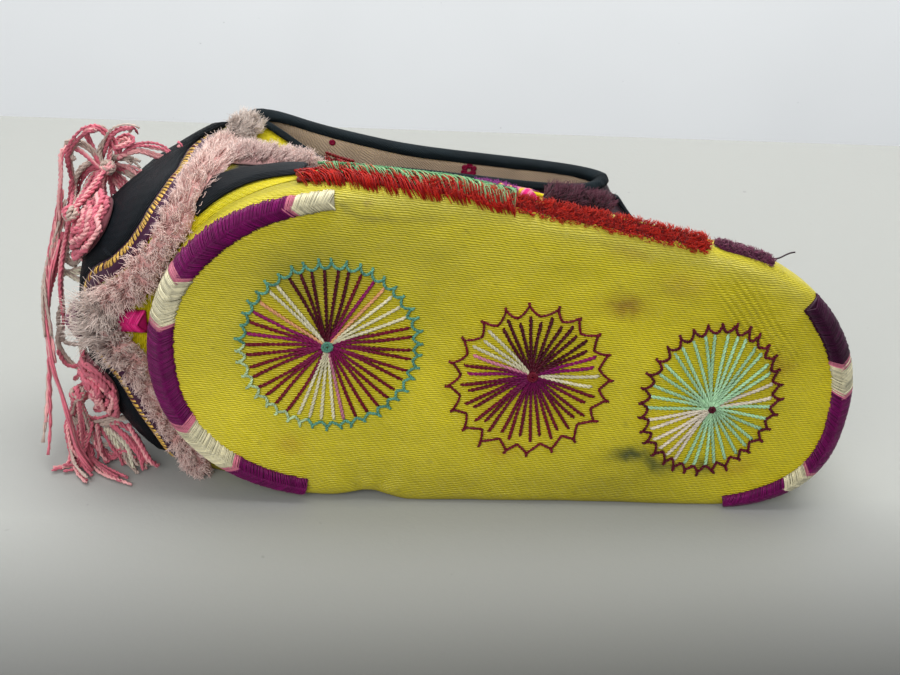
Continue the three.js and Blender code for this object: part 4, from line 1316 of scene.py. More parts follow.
pile_band("fur_band", FUR_PATH, 6.8, 3.4, 7400, FUR_COLOURS,
          ["fur_trim"], "pink_fur", 101, thick=0.08, curl=0.6, comb=-0.45, widths=fur_share,
          pale=(0.45, 0.055, rgb(224, 208, 198)))
pile_band("fur_side_branch", ((0.098, 0.5), (0.118, 0.6), (0.135, 0.62), (0.153, 0.55)), 6.2, 3.8,
          1900, (rgb(204, 160, 156), rgb(228, 204, 196), rgb(120, 70, 96), 0.3),
          ["fur_branch"], "pink_fur", 111, thick=0.08, curl=0.6, columns=90)
pile_band("throat_fur", ((0.058, 0.875), (0.072, 0.885), (0.088, 0.885)), 6.4, 4.6,
          1300, (rgb(176, 156, 148), rgb(218, 204, 194), rgb(120, 100, 98), 0.3),
          ["throat_tuft"], "pink_fur", 121, thick=0.075, curl=0.6, columns=60)
DEEP_RED = (rgb(128, 10, 6), rgb(190, 34, 14), rgb(92, 8, 10), 0.3)
PLUM_BROWN = (rgb(54, 20, 34), rgb(96, 52, 66), rgb(34, 12, 26), 0.3)
PLUSH_PURPLE = (rgb(88, 14, 84), rgb(150, 58, 140), rgb(60, 12, 60), 0.3)
PLUM = (rgb(84, 28, 60), rgb(126, 70, 92), rgb(52, 20, 40), 0.3)

# Plush and chenille: path, width, height, hairs, colours, node, slot, seed, lock, thickness,
# curl and columns
PLUSHES = (
    ("plush_purple", ((0.225, 0.5), (0.25, 0.56), (0.285, 0.6)), 6.4, 2.6, 1100, PLUSH_PURPLE,
     ["side_plush_purple"], "purple_pile", 131, 0.9, 0.09, 0.12, 50),
    ("plush_brown", ((0.3, 0.4), (0.325, 0.55), (0.355, 0.7)), 6.4, 2.6, 1100, PLUM_BROWN,
     ["side_plush_brown"], "purple_pile", 141, 0.9, 0.09, 0.12, 50),
    ("plush_edge_purple", ((0.222, -0.02), (0.23, -0.02), (0.242, -0.03)), 2.6, 1.8, 600,
     PLUSH_PURPLE, (), None, 133, 0.9, 0.09, 0.2, 40),
    ("plush_edge_brown", ((0.254, 0.0), (0.266, 0.02), (0.284, 0.0)), 3.8, 3.6, 900,
     PLUM_BROWN, (), None, 143, 0.9, 0.09, 0.4, 50),
    ("chenille_red", ((0.2, -0.085), (0.25, -0.105), (0.3, -0.1), (0.331, -0.1)), 3.2, 1.8,
     2400, DEEP_RED, ["seam_chenille_red"], "red_pile", 151, 0.9, 0.09, 0.5, 110),
    ("chenille_purple", ((0.334, -0.07), (0.35, -0.08), (0.368, -0.09)), 2.2, 1.2, 700, PLUM,
     ["seam_chenille_purple"], "purple_pile", 161, 0.7, 0.08, 0.3, 60),
)
for *values, lock, thick, curl, columns in PLUSHES:
    pile_band(*values, lock=lock, thick=thick, curl=curl, columns=columns, material=plush)


# A loose dark thread where the purple chenille ends
def loose_thread():
    k = np.linspace(0, 1, 24)
    u = 0.364 + 0.014 * k
    path = side_surface(u, -0.06 - 0.02 * np.sin(5 * k), 0.5 + 3.2 * k ** 1.4)[0]
    first = row_normal(u[:1], np.full(1, 0.05))
    joined_piece("loose_thread", [tubes(path[None], 0.16, 4, first, rgb(40, 18, 30))], floss)


loose_thread()


# Braid: a plum ribbon with short gold bars woven across part of its width
BRAID_BAR = 1.15
BRAID_THICK = 0.9
BAR_SPAN = (0.46, 0.9)
BRAID_FROM = 3.4 + GAP


def gold_braid(name, path, low, width, nodes, seed):
    """Low is where the ribbon starts, left of the path, at each share of the path."""
    rng = np.random.default_rng(seed)
    length, share_at = measured(path)
    mm = np.linspace(0, length, int(length / 0.8))[:, None]
    k = np.linspace(0, 1, 8)[None]
    crown = BRAID_THICK * (0.7 + 0.3 * np.sin(math.pi * k))
    parts = [ribbon(path, share_at(mm), low(share_at(mm)) + width * k, GAP + crown,
                    rgb(62, 10, 50))]
    at = np.arange(0.5 * BRAID_BAR, length - 0.3 * BRAID_BAR, BRAID_BAR)
    at = at + rng.uniform(-0.06, 0.06, len(at)) * BRAID_BAR
    k = np.linspace(0, 1, 6)[None]
    lift = GAP + BRAID_THICK * (0.74 + 0.3 * np.sin(math.pi * k)) + 0.05
    for lane in (-0.3, 0, 0.3):
        along = at[:, None] + lane * BRAID_BAR * 0.62 + 0.35 * (k - 0.5)
        along = np.clip(along, 0, length)
        x = low(share_at(along)) + width * blend(BAR_SPAN[0], BAR_SPAN[1], k)
        paths, normal = on_path(path, share_at(along), x, lift)
        gold = rgb(214, 172, 78) * rng.uniform(0.55, 1.2, (len(at), 1))
        gold[rng.uniform(0, 1, len(at)) < 0.12] = rgb(132, 60, 60)
        parts.append(tubes(paths, 0.17, 4, normal[:, 0], gold, 0.7))
    for edge, tone in ((0, rgb(96, 28, 60)), (1, rgb(60, 14, 44))):
        t = share_at(np.linspace(0, length, int(length / 0.6)))
        cord, normal = on_path(path, t, low(t) + width * edge, GAP + 0.55 * BRAID_THICK)
        parts += plied(cord, 0.28, 1.0, normal[:1], 4, tone)
    joined_piece(name, parts, braid_metal, nodes)


gold_braid("face_braid", FUR_PATH, lambda t: BRAID_FROM * fur_share(t), 3.6, ["braid_trim"], 201)
gold_braid("collar_braid", ((0.215, 0.84), (0.25, 0.85), (0.275, 0.85)), lambda t: -1.6 + 0 * t,
           3, ["side_braid"], 202)


# Black sateen: the face inside the braid, a band on the side and a strip at the heel
FACE_CLEAR = 2.5 * GAP
CLOTH = 0.8


def sateen_slab(name, u, v, clear, nodes, seed):
    """Black cloth laid over the wall at a grid of places, with its own soft creases."""
    inner = wall_point(u, v, clear)
    x, y = run_length(inner.swapaxes(0, 1)).T, run_length(inner)
    crease = 0.22 * lattice(x / 5, y / 9, seed) + 0.1 * lattice(x / 2.2, y / 4, seed + 1)
    rim = np.minimum(np.minimum(x, x[-1:] - x), np.minimum(y, y[:, -1:] - y))
    thick = CLOTH * (0.3 + 0.7 * np.clip(rim / 0.8, 0, 1) ** 0.5)
    outer = wall_point(u, v, clear + thick + crease * np.clip(rim / 2, 0, 1))
    points, *faces = slab(outer, inner)
    cloth = flat_cloth(x, y)
    dusty = np.clip(0.5 + 0.5 * lattice(x / 7, y / 7, seed + 2), 0, 1)[..., None]
    tint = rgb(17, 22, 27) * (0.8 + 0.4 * dusty)
    values = {"cloth": np.stack([cloth, cloth]), "tint": np.stack([tint, tint])}
    make_piece(name, points, faces, sateen, values, nodes)


t = np.linspace(0, 1, 140)
face_low = np.stack(beside(FUR_PATH, t, BRAID_FROM * fur_share(t) + 3.7), -1)
face_top = np.stack([0.04 * (2 * t - 1), np.full(140, 0.935)], -1)
face = blend(face_low[:, None], face_top[:, None], np.linspace(0, 1, 40)[None, :, None])
sateen_slab("face_cloth", face[..., 0], face[..., 1], FACE_CLEAR, ["vamp_panel"], 211)


def sateen_strip(name, path, low, high, nodes, seed):
    t, x = np.meshgrid(np.linspace(0, 1, 60), np.linspace(low, high, 9), indexing="ij")
    sateen_slab(name, *beside(path, t, x), GAP, nodes, seed)


sateen_strip("side_band_cloth", ((0.076, 0.15), (0.112, 0.2), (0.144, 0.15)), -4.2, 3.0,
             ["side_band"], 221)
sateen_strip("heel_seam_cloth", ((0.5, 0.42), (0.5, 0.7), (0.5, 0.935)), -1.4, 1.4,
             ["heel_strip"], 231)


# Fringes: short straight silk ends under a corded heading
FRINGE_PITCH = 0.07


def fringe_layer(rng, path, rise, drop, thick, colours, seed, sweep):
    """Colours are root, tip, and a second tip with its share. Sweep combs along the path."""
    length, share_at = measured(path)
    count = int(length / FRINGE_PITCH)
    at = rng.uniform(0, length, count)
    k = np.linspace(0, 1, 5)
    reach = drop * rng.uniform(0.75, 1.12, count)
    x = rise - (rise + reach)[:, None] * k
    comb = sweep + 0.9 * lattice(at / 1.6, at * 0, seed + 1) + rng.normal(0, 0.3, count)
    along = np.clip(at[:, None] + 0.9 * comb[:, None] * k ** 1.3, 0, length)
    depth = rng.uniform(0.1, 1, count)[:, None]
    lift = GAP + 0.15 + thick * depth * (0.55 + 0.75 * np.sin(math.pi * np.minimum(1, 0.8 * k)))
    paths, normal = on_path(path, share_at(along), x, lift)
    root, tip, other, other_share = colours
    pick = rng.uniform(0, 1, (count, 1)) < other_share
    ends = np.where(pick, other, tip) * rng.uniform(0.75, 1.2, (count, 1))
    colour = blend(root, ends[:, None], (k ** 0.7)[None, :, None])
    parts = [tubes(paths, 0.14 * np.array([1, 1, 0.95, 0.8, 0.4])[None], 3, normal[:, 0], colour)]
    mm = np.linspace(1, length - 1, int(length / 0.5))[:, None]
    rows = np.linspace(-0.6 * drop, 0.8 * rise, 7)[None]
    # painted shade under the fringe: a darker copy of the root colour
    parts.append(ribbon(path, share_at(mm), rows, GAP + 0.4 * thick, root * 0.7))
    t = share_at(np.linspace(0, length, int(length / 0.35)))
    cord, normal = on_path(path, t, rise - 0.2, GAP + 0.9 * thick)
    return parts + plied(cord, 0.42, 1.2, normal[:1], 4, root * 1.2)


def silk_fringe(name, layers, nodes, seed):
    """Each layer is a path, its rise and drop from the path, its thickness and colours."""
    rng = np.random.default_rng(seed)
    parts = []
    for number, (*layer, sweep) in enumerate(layers):
        parts += fringe_layer(rng, *layer, seed + number, sweep)
    joined_piece(name, parts, floss, nodes)


SCARLET = (rgb(124, 10, 6), rgb(196, 34, 16), rgb(150, 14, 18), 0.35)
CRIMSON = (rgb(96, 8, 12), rgb(160, 22, 22), rgb(120, 14, 24), 0.3)
GREENS = (rgb(70, 122, 78), rgb(146, 194, 140), rgb(190, 36, 20), 0.3)
FAR_REDS = (rgb(150, 20, 22), rgb(206, 62, 58), rgb(226, 170, 168), 0.2)
silk_fringe("fringe_red", (
    (((0.15, 0.955), (0.162, 0.955), (0.18, 0.95)), 1.8, 5.0, 2.6, CRIMSON, 1.5),
    (((0.138, -0.01), (0.18, -0.055), (0.215, -0.07), (0.24, -0.075)), 1.6, 3.6, 1.3, SCARLET, 3.4),
), ["side_fringe_red"], 241)
silk_fringe("fringe_green", (
    (((0.15, 0.03), (0.18, -0.02), (0.21, -0.045), (0.24, -0.065)), 1.3, 2.8, 1.8, GREENS, 2.2),
), ["side_fringe_green"], 251)
silk_fringe("fringe_far", (
    (((0.766, 0.88), (0.81, 0.88), (0.86, 0.88)), 2.1, 2.6, 1.8, FAR_REDS, 0.0),
), ["far_fringe"], 261)


# Satin pads: the hot-pink toe pad, and the petals on the side
PAD_PITCH = 0.4
HOT_PINK = rgb(206, 24, 112)


def satin_pad(name, path, width, high, colours, nodes, seed):
    rng = np.random.default_rng(seed)
    length, share_at = measured(path)

    def rounded(mm):
        return np.sqrt(np.clip(np.minimum(mm, length - mm) / 1.2, 0.05, 1))

    mm = np.linspace(0, length, 40)[:, None]
    k = np.linspace(-1, 1, 13)[None]
    over = GAP + 0.85 * high * (dome(k, 2.4, 0.02) * rounded(mm))
    # painted shade between the stitches: the ground in a darker copy of the first colour
    parts = [ribbon(path, share_at(mm), k * width / 2, over, colours[0] * 0.6)]
    for side in (-1, 1):
        at = np.arange(0.2, length - 0.2, PAD_PITCH) + 0.5 * PAD_PITCH * (side > 0)
        k = np.linspace(0, 1, 7)[None]
        start = 1.0 + rng.uniform(-0.02, 0.06, len(at))[:, None]
        x = side * (start - (start + 0.05) * k)
        along = np.clip(at[:, None] + 1.3 * k, 0, length)
        crest = dome(np.clip(x, -1, 1), 2.4) * rounded(along)
        paths, normal = on_path(path, share_at(along), x * width / 2, GAP + high * crest + 0.1)
        colour = np.array(colours)[(rng.uniform(0, 1, len(at)) * len(colours)).astype(int)]
        colour = colour * rng.uniform(0.85, 1.15, (len(at), 1))
        parts.append(tubes(paths, 0.27, 5, normal[:, 0], colour, 0.8))
    joined_piece(name, parts, floss, nodes)


satin_pad("toe_satin", ((0.001, 0.02), (-0.001, 0.07), (-0.003, 0.11)), 4.8, 1.6,
          [HOT_PINK, rgb(222, 50, 130)], ["toe_pad"], 271)
satin_pad("petal_edge", ((0.231, 0.0), (0.239, -0.02), (0.25, -0.01)), 2.6, 1.5,
          [HOT_PINK, rgb(222, 120, 150), rgb(206, 178, 40)], (), 273)


# The petals: each one's place along and across the patch, half its length, and its turn
PETALS = ((1.6, -0.4, 1.5, 0.5), (4.2, 0.6, 1.7, -0.3), (6.9, -0.3, 1.7, 0.4), (9.4, 0.4, 1.5, -0.5))


def petals():
    """Yellow cloth with rose petals of satin stitch, each with a purple outline."""
    rng = np.random.default_rng(281)
    path = ((0.251, 0.2), (0.268, 0.24), (0.284, 0.24))
    length, share_at = measured(path)
    face = GAP + CLOTH
    mm = np.linspace(0, length, 50)[:, None]
    parts = [ribbon(path, share_at(mm), np.linspace(-2.2, 2.2, 13)[None], face, YELLOW * 0.9)]
    for number, (at, across, reach, turn) in enumerate(PETALS):
        c, n = math.cos(turn), math.sin(turn)

        def turned(a, b, off):
            along = np.clip(at + c * a - n * b, 0, length)
            return on_path(path, share_at(along), across + n * a + c * b, off)

        spin = np.linspace(0, TAU, 28)
        ring, normal = turned(reach * np.cos(spin), 0.8 * reach * np.sin(spin), face + 0.2)
        parts += plied(ring, 0.26, 0.9, normal[:1], 4, rgb(120, 24, 92))
        bars = np.linspace(-0.85, 0.85, 9)[:, None]
        k = np.linspace(-1, 1, 6)[None]
        span = np.sqrt(1 - bars ** 2) * 0.8 * reach * k
        stitch, normal = turned(bars * reach, span, face + 0.15 + 0.25 * (1 - k ** 2))
        tone = rgb(214, 96, 132) if number % 2 else rgb(226, 140, 150)
        parts.append(tubes(stitch, 0.17, 4, normal[:, 0], tone * rng.uniform(0.9, 1.1)))
    joined_piece("petal_cloth", parts, floss, ["petal_patch"])


petals()


def spangles():
    """Small cupped discs sewn down in an overlapping row."""
    rng = np.random.default_rng(291)
    path = ((0.296, 0.74), (0.312, 0.8))
    length, share_at = measured(path)
    mm = np.linspace(0, length, 16)[:, None]
    x = np.linspace(-1.5, 1.5, 9)[None]
    over = GAP + 0.5 * (1 - (x / 1.6) ** 2) + 0.1
    parts = [ribbon(path, share_at(mm), x, over, rgb(80, 16, 50))]
    spin = TAU * np.arange(14) / 14
    for row in (-0.8, 0.8):
        for at in np.arange(0.8, length - 0.4, 1.2):
            tilt = rng.uniform(0.1, 0.45)
            rings = []
            for reach, cup in ((0.12, 0.05), (0.6, 0.0), (1.0, 0.14)):
                along = np.clip(at + reach * np.cos(spin), 0, length)
                off = GAP + 0.75 + cup + tilt * reach * np.cos(spin)
                rings.append(on_path(path, share_at(along), row + reach * np.sin(spin), off)[0])
            top = np.stack(rings, 1)
            outward = row_normal(*beside(path, share_at(np.array([at])), np.array([0.0])))[0]
            tone = (rgb(214, 40, 110), rgb(190, 30, 60), rgb(226, 110, 150))[rng.integers(3)]
            parts.append(slab_part(top, top - outward * 0.1, tone, True))
    joined_piece("spangle_row", parts, braid_metal, ["side_spangles"])


spangles()


# A printed flower and dot on the lining of the far wall: spot, reach of the petals, their number
PRINTS = (((0.712, 0.974), 1.125, 6), ((0.837, 0.982), 0.0, 1))
PRINT_DOT = 0.72


def near_spot(spot, x, y):
    """Places in u and v, x and y millimetres from a spot on the wall."""
    return move(spot[0] + 0 * x, spot[1] + 0 * x, 1 + 0 * x, 0 * x, x, y)


def spot_normal(spot):
    return row_normal(np.array(spot[:1]), np.array(spot[1:]))


def lining_print():
    parts = []
    spin = TAU * np.arange(16) / 16
    for spot, out, count in PRINTS:
        for angle in TAU * np.arange(count) / count:
            rings = []
            for reach in (0.05, 1.0):
                x = out * math.cos(angle) + reach * PRINT_DOT * np.cos(spin)
                y = out * math.sin(angle) + reach * PRINT_DOT * np.sin(spin)
                rings.append(wall_point(*near_spot(spot, x, y), -WALL - 0.1))
            low = np.stack(rings, 1)
            parts.append(slab_part(low - spot_normal(spot)[0] * 0.12, low, rgb(150, 20, 62), True))
    joined_piece("lining_print", parts, floss)


lining_print()


# Yarn coils on the face: twisted cord wound round over a ground in a dark copy of the yarn's colour,
# painted shade between the turns
COIL_BASE = FACE_CLEAR + CLOTH + GAP
COIL_RADIUS = 6.6
COIL_HEIGHT = 3
COIL_TWIST = 2.3
KNOT_RADIUS = 2
UPPER_COIL = (0.016, 0.42)
MIDDLE_COIL = (-0.034, 0.36)
LOWER_COIL = (-0.053, 0.25)
PINK = rgb(202, 104, 120)
PALE_PINK = rgb(222, 158, 158)
GREY_YARN = rgb(186, 166, 154)
CREAM_YARN = rgb(212, 206, 182)
MAUVE = rgb(140, 92, 112)


def around_spot(spot, x, y, off):
    """Points of the wall x and y millimetres from a place in u and v."""
    u, v = near_spot(spot, *np.broadcast_arrays(x, y))
    return wall_point(u, np.clip(v, SEAM_V, 0.93), off)


def yarn_coil(name, spot, radius, high, turns, cord, tones, nodes, seed):
    rng = np.random.default_rng(seed)
    spin = (TAU * np.arange(56) / 56)[:, None]
    reach = np.linspace(0.03, 0.94, 9)[None] * radius
    x, y = reach * np.cos(spin), reach * np.sin(spin)
    over = COIL_BASE + high * (0.1 + 0.6 * (1 - (reach / radius) ** 2))
    # painted shade: the ground is a dark copy of the first tone
    parts = [slab_part(around_spot(spot, x, y, over), around_spot(spot, x, y, COIL_BASE),
                       tones[0] * 0.22, True)]
    t = np.linspace(0, 1, 60)
    for number in range(2 * turns):
        begin = rng.uniform(0, TAU)
        sweep = TAU * rng.uniform(0.75, 1.15)
        ring = radius * (0.16 + 0.78 * (number + 0.5) / (2 * turns))
        shift = rng.normal(0, 0.09, 2) * radius
        wobble = 1 + 0.1 * np.sin(3 * TAU * t + begin) + 0.05 * np.sin(7 * TAU * t)
        x = ring * wobble * np.cos(begin + sweep * t) + shift[0]
        y = ring * wobble * np.sin(begin + sweep * t) + shift[1]
        dip = np.sin(math.pi * t) ** 0.3
        crown = math.sqrt(1 - 0.8 * (ring / radius) ** 2)
        lift = COIL_BASE + high * (1.5 * crown - 0.45) * (0.6 + 0.4 * dip)
        lift = lift + rng.uniform(-0.1, 0.35) + 0.2 * np.sin(5 * TAU * t + begin)
        tone = tones[number % len(tones)] * rng.uniform(0.85, 1.12)
        route = around_spot(spot, x, y, lift)
        parts += plied(route, cord, COIL_TWIST, spot_normal(spot), 5, tone)
    joined_piece(name, parts, wool, nodes)


yarn_coil("coil_upper", UPPER_COIL, COIL_RADIUS, COIL_HEIGHT, 7, 0.62,
          (PINK, PINK * 0.85, PALE_PINK), ["rosette_upper"], 301)
yarn_coil("coil_lower", LOWER_COIL, COIL_RADIUS, COIL_HEIGHT, 7, 0.62,
          (PINK, PINK * 0.85, PALE_PINK), ["rosette_lower"], 302)
yarn_coil("coil_middle", MIDDLE_COIL, 3.4, 2.4, 4, 0.55, (MAUVE, MAUVE * 0.8, GREY_YARN),
          ["rosette_middle"], 303)


# Yarn tassels: loose twisted cords that leave a knot on each coil
SKEW = unit(np.array([0.35, -0.6, 0.72]))


def smooth_route(points, count):
    return resample(spline(points, np.linspace(0, 1, 4 * count)), count)


def shoe_route(points):
    s, w, h = np.array(points, float).T
    return place(s, w, h, ROUTE_CLEAR)


def strands(rng, routes, cords, spread, tones, cord=0.5, count=34, ragged=0.2):
    """Cords beside each route in the row frame, parting towards its end."""
    parts = []
    for points in routes:
        route = smooth_route(points, count)
        normal, side = (x[0] for x in carried(route[None], SKEW))
        k = np.linspace(0, 1, count)
        for _ in range(cords):
            turn = rng.uniform(0, TAU) + rng.normal(0, 1.3) * k
            reach = spread * math.sqrt(rng.uniform(0.02, 1)) * (0.3 + 0.7 * k)
            wave = 0.35 * spread * np.sin(TAU * rng.uniform(0.7, 2.2) * k + rng.uniform(0, TAU))
            path = (route + (np.cos(turn) * reach)[:, None] * normal
                    + (np.sin(turn) * reach)[:, None] * side + (wave * k)[:, None] * side)
            stop = 1 - ragged * rng.uniform(0, 1)
            at = k * stop * (count - 1)
            low = np.minimum(at.astype(int), count - 2)
            path = blend(path[low], path[low + 1], (at - low)[:, None])
            path[:, 2] = np.maximum(path[:, 2], CORD_CLEAR)
            tone = tones[rng.integers(len(tones))] * rng.uniform(0.85, 1.12)
            thick = cord * rng.uniform(0.8, 1.1) * np.clip(1.25 - 0.4 * k, 0.8, 1)
            parts += plied(path, thick, rng.uniform(1.9, 2.6), SKEW, 4, tone)
    return parts


def wound_knot(centre, radius, tones, rng):
    parts = []
    spin = np.linspace(0, TAU, 26)[:, None]
    for number in range(7):
        axis = unit(rng.normal(0, 1, 3))
        first = unit(np.cross(axis, SKEW))
        second = np.cross(axis, first)
        ring = centre + radius * (np.cos(spin) * first + np.sin(spin) * second)
        parts += plied(ring, 0.55, 2.2, axis, 5, tones[number % len(tones)])
    return parts


def knot_at(spot):
    lift = COIL_BASE + COIL_HEIGHT + GAP + KNOT_RADIUS
    return wall_point(np.array([spot[0]]), np.array([spot[1]]), lift)[0]


UPPER_STRANDS = (
    ((-19.5, 17, 31), (-20.5, 25, 30), (-16.5, 30.5, 30), (-13.5, 27, 32)),
    ((-15.5, 20, 34), (-12.5, 29, 32), (-8, 31.5, 31), (-6, 28, 33)),
    ((-14, 17, 37), (-11, 25, 37), (-8, 29, 36)),
    ((-20.5, 12, 28), (-22.3, 6, 25), (-22.8, -6, 22), (-21.8, -18, 20), (-20.8, -29, 14),
     (-20.4, -37.5, 6)),
    ((-20, 9, 25), (-20.8, 0, 23), (-19.8, -9, 22), (-20.3, -16, 23)),
)
LOWER_STRANDS = (
    ((-17, -32, 17), (-14, -36, 9), (-9.5, -37.5, 3.5)),
    ((-13, -35, 13), (-8, -36.5, 7), (-1.1, -37, 3)),
    ((-17, -34, 22), (-18.5, -37, 26)),
    ((-10, -35, 14), (-3, -35.5, 11), (3, -36, 9)),
)
# Loops and loose ends above the upper coil, and down the front
UPPER_LOOPS = (
    ("pink", (-14.2, 21.8, 30), (-18.9, 25.2, 31), (-21.9, 24.8, 30), (-21.8, 19.5, 28),
     (-22.1, 11.0, 27)),
    ("pink", (-14.4, 21.8, 31), (-16.8, 26.5, 33), (-17.9, 28.9, 33), (-15.5, 29.9, 33),
     (-12.4, 27.4, 33), (-11.0, 24.7, 32)),
    ("grey", (-13.6, 21.9, 31), (-14.8, 25.0, 33), (-13.4, 28.0, 34), (-15.0, 29.4, 34),
     (-16.5, 28.9, 33)),
    ("pink", (-12.9, 22.3, 32), (-12.5, 26.0, 34), (-10.1, 27.8, 35), (-8.3, 27.3, 34),
     (-10.0, 26.2, 33), (-12.2, 25.7, 32)),
    ("pink", (-10.9, 24.1, 32), (-7.2, 25.1, 34), (-3.8, 24.4, 35), (-1.1, 24.1, 35),
     (1.2, 26.1, 35), (0.2, 26.9, 35)),
    ("pink", (-10.9, 23.6, 32), (-8.4, 25.8, 34), (-5.3, 26.2, 35), (-2.2, 25.7, 35),
     (-0.2, 24.6, 34)),
    ("grey", (-19.3, 23.4, 30), (-21.3, 26.0, 31), (-19.5, 26.9, 31), (-16.6, 25.1, 32),
     (-13.7, 22.2, 32)),
    ("pink", (-21.4, 17.4, 28), (-22.5, 10.5, 27), (-23.3, 3.2, 24), (-23.0, -4.0, 20),
     (-21.4, -11.1, 16), (-20.4, -15.7, 14)),
    ("grey", (-20.6, 15.3, 28), (-22.1, 8.1, 26), (-23.5, 1.4, 23), (-23.1, -3.5, 19),
     (-21.0, -11.7, 15)),
    ("pink", (-21.3, 7.1, 26), (-22.4, -0.3, 22), (-22.2, -7.5, 18), (-20.4, -15.0, 14),
     (-17.7, -21.5, 12), (-15.4, -27.3, 10), (-13.5, -32.6, 9), (-10.0, -37.1, 8)),
    ("grey", (-19.5, -9.5, 20), (-20.4, -13.1, 20), (-18.4, -16.7, 19), (-14.4, -18.6, 18),
     (-11.3, -16.8, 19), (-9.8, -13.8, 19), (-11.7, -11.7, 20), (-14.1, -12.4, 20)),
    ("cream", (-13.3, -4.9, 24), (-14.7, -9.3, 23), (-15.4, -14.3, 21), (-14.8, -17.8, 20)),
    ("cream", (-21.8, 4.3, 27), (-20.7, 0.7, 26), (-16.4, -1.1, 25), (-11.8, -0.6, 24),
     (-9.3, 1.6, 23)),
    ("cream", (-9.7, 11.8, 26), (-7.3, 9.6, 24), (-7.4, 6.6, 23), (-9.2, 3.9, 22)),
    ("pink", (-19.8, 19.0, 30), (-19.9, 13.8, 29), (-20.0, 9.7, 28), (-17.5, 6.6, 28)),
    ("pink", (-18.6, 15.1, 31), (-15.7, 11.8, 31), (-10.7, 14.4, 30), (-7.2, 13.7, 28),
     (-5.2, 11.2, 26)),
    ("pink", (-15.7, 10.9, 31), (-11.7, 14.6, 31), (-8.2, 15.0, 29), (-5.9, 11.6, 27)),
    ("grey", (-16.3, 9.9, 30), (-13.1, 11.7, 30), (-9.7, 13.4, 29), (-7.4, 11.9, 27)),
    ("pink", (-14.7, 10.1, 30), (-11.4, 11.9, 30), (-8.7, 12.2, 28), (-5.9, 10.2, 26)),
    ("cream", (-11.6, 10.2, 29), (-8.9, 10.8, 27), (-6.9, 8.3, 25), (-9.1, 4.4, 24)),
    ("cream", (-11.1, 9.2, 28), (-7.9, 8.6, 26), (-7.9, 5.9, 24)),
    ("cream", (-20.1, 6.3, 29), (-20.1, 3.1, 27), (-17.9, 1.5, 26), (-19.1, 4.1, 28)),
    ("grey", (-21.6, 8.8, 28), (-22.0, 5.1, 27), (-19.9, 2.2, 26), (-17.5, 2.5, 26),
     (-18.1, 5.6, 27)),
    ("pink", (-20.5, 10.8, 28), (-19.1, 6.4, 28), (-15.4, 4.1, 28), (-10.8, 6.9, 27),
     (-9.1, 8.9, 26)),
    ("pink", (-19.8, 11.3, 29), (-16.9, 8.0, 29), (-12.8, 9.4, 29), (-9.6, 8.0, 27)),
    ("pink", (-18.9, 4.1, 27), (-15.1, 2.7, 26), (-11.7, 3.6, 25), (-9.3, 6.6, 25)),
    ("pink", (-17.8, 9.7, 29), (-14.3, 7.0, 28), (-10.6, 4.6, 26), (-12.4, 2.1, 25)),
    ("cream", (-22.3, 0.0, 26), (-17.8, 0.1, 26), (-13.6, 0.1, 25), (-10.0, -0.1, 23)),
    ("cream", (-21.1, -1.2, 26), (-16.2, 0.8, 26), (-11.8, -0.1, 24), (-8.1, 3.1, 23)),
    ("pink", (-21.0, 8.4, 27), (-21.8, 2.4, 25), (-22.6, -2.0, 23), (-23.0, -4.5, 21)),
    ("grey", (-20.3, -10.3, 20), (-19.0, -13.4, 20), (-15.7, -13.6, 20), (-12.5, -11.8, 20),
     (-9.7, -13.2, 18), (-11.0, -16.6, 17), (-13.9, -18.4, 17)),
    ("cream", (-16.1, -11.3, 22), (-12.5, -14.2, 21), (-10.1, -16.2, 19), (-11.5, -18.7, 18),
     (-14.8, -18.6, 18)),
    ("pink", (-20.0, -14.9, 19), (-17.8, -17.5, 18), (-15.3, -16.7, 18), (-15.9, -14.5, 19)),
    ("grey", (-19.9, -4.7, 22), (-20.5, -8.9, 21), (-19.4, -13.0, 20)),
)
